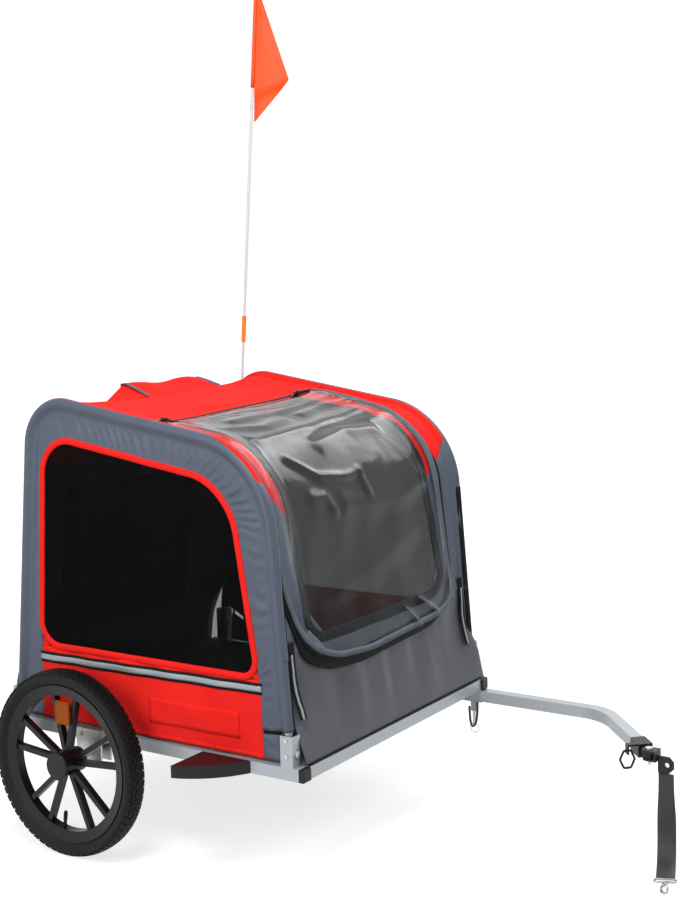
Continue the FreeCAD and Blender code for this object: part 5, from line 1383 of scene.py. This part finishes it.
class TRAILER_OT_flag(bpy.types.Operator):
    """Limp pennant on its pole"""
    bl_idname = "trailer.flag"
    bl_label = "Flag"

    def execute(self, context):
        lean = math.tan(math.radians(POLE_LEAN))
        turn = math.radians(PENNANT_TURN)
        out = Vector((math.cos(turn), math.sin(turn)))
        behind = Vector((-out.y, out.x))

        def place(fly, drop, back):
            z = POLE_TOP - drop
            x = POLE_X + (z - POLE_FOOT) * lean + out.x * fly + behind.x * back
            return at(x, POLE_Y + out.y * fly + behind.y * back, z)

        rows = []
        for t in span(0, 1, 40):
            drop = PENNANT_HIGH * t
            past = t - PENNANT_TIP
            reach = 6 + 84 * t / PENNANT_TIP if past < 0 else 90 - 82 * past / 0.31
            hoist = 4.4 if t < 0.745 else 4.4 + 6 * (t - 0.745)
            row = []
            for share in span(0, 1, 22):
                fly = hoist + (max(reach, hoist + 1.5) - hoist) * share
                crease = ease(PENNANT_TIP, 0.77, t - 0.09 * (1 - share))
                wave = 5 * math.sin(share * 3.1 + t * 2.4) * share * (1 - 0.5 * crease)
                row.append(place(fly, drop - 6 * share * (1 - share), wave + crease * (6 + 22 * past)))
            rows.append(row)
        pennant = build("pennant_sheet", grid(rows), flag_vinyl(), "orange_flag", "flag", thickness=0.4,
                        replaced="flag")
        rings = []
        for drop in span(0, PENNANT_SLEEVE, 12):
            centre = place(0, drop, 0)
            rings.append([centre + Vector((math.cos(a) * PENNANT_ROUND, math.sin(a) * PENNANT_ROUND, 0))
                          for a in ring(16)])
        sleeve = build("pennant_sleeve", grid(rings, closed_columns=True), flag_vinyl(), "orange_flag", "flag",
                       thickness=0.4)
        cut_sheet(pennant, [sleeve])
        return {"FINISHED"}


# Finishes of the solids that stay

class TRAILER_OT_hard_finishes(bpy.types.Operator):
    """Gives the carried-over solids their paint, plating and plastic"""
    bl_idname = "trailer.hard_finishes"
    bl_label = "Hard finishes"

    def execute(self, context):
        paint = painted_steel()
        zinc = plated_metal("zinc_plated_steel", "#B9BBB8", 0.34)
        chrome = plated_metal("nickel_plated_steel", "#9C9D9F", 0.22)
        dark = moulded_plastic("black_powder_coat", "#1B1C1E", 0.45, 1.2)
        plastic = black_plastic()
        board = moulded_plastic("dark_floor_board", "#5E5F66", 0.7, 6.0)
        white = moulded_plastic("white_fibreglass", "#D6D6D3", 0.3, 3.0)
        orange = moulded_plastic("orange_sleeve_plastic", "#F58220", 0.35, 2.0)
        gloss = moulded_plastic("moulded_black_rim", "#0C0C0E", 0.33, 2.0)
        finishes = {
            paint: ["right_side_rail", "left_side_rail", "front_cross_rail", "rear_cross_rail", "middle_cross_rails",
                    "hinge_brackets", "drawbar_tube", "drawbar_bracket", "right_hoop", "left_hoop"],
            zinc: ["hinge_pins", "frame_fasteners", "axle_brackets", "axles", "drawbar_pivot_bolt", "lock_pin",
                   "hitch_pin", "right_bearings", "left_bearings"],
            chrome: ["strap_loop", "snap_hook", "hook_gate"],
            dark: ["coupling_plate", "hitch_bail"],
            plastic: ["rail_end_plugs", "axle_latches", "wheel_guards", "hitch_socket", "flag_holder",
                      "right_hub_cap", "left_hub_cap"],
            gloss: ["right_rim", "left_rim"],
            board: ["floor_panel"],
            white: ["flag_pole_lower", "flag_pole_upper"],
            orange: ["flag_ferrule"],
        }
        for material, nodes in finishes.items():
            for node in nodes:
                mesh = bpy.data.objects[node].data
                mesh.materials.clear()
                mesh.materials.append(material)
        return {"FINISHED"}


OPERATORS = (TRAILER_OT_stage, TRAILER_OT_cords, TRAILER_OT_hard_finishes, TRAILER_OT_side_walls, TRAILER_OT_roof,
             TRAILER_OT_front, TRAILER_OT_tyres, TRAILER_OT_flag)


class TRAILER_PT_panel(bpy.types.Panel):
    """Lists the pieces of the trailer in the sidebar"""
    bl_label = "Dog trailer"
    bl_idname = "TRAILER_PT_panel"
    bl_space_type = "VIEW_3D"
    bl_region_type = "UI"
    bl_category = "Trailer"

    def draw(self, context):
        for group in (context.scene.trailer_sizes, context.scene.trailer_colours):
            column = self.layout.column()
            for name in group.__annotations__:
                column.prop(group, name)
        for operator in OPERATORS:
            self.layout.operator(operator.bl_idname)


CLASSES = (TrailerColours, TrailerSizes, *OPERATORS, TRAILER_PT_panel)


def register():
    for cls in CLASSES:
        bpy.utils.register_class(cls)
    bpy.types.Scene.trailer_colours = PointerProperty(type=TrailerColours)
    bpy.types.Scene.trailer_sizes = PointerProperty(type=TrailerSizes)


def unregister():
    del bpy.types.Scene.trailer_sizes
    del bpy.types.Scene.trailer_colours
    for cls in reversed(CLASSES):
        bpy.utils.unregister_class(cls)


def main():
    register()
    for operator in OPERATORS:
        group, name = operator.bl_idname.split(".")
        getattr(getattr(bpy.ops, group), name)()


if __name__ == "__main__":
    main()
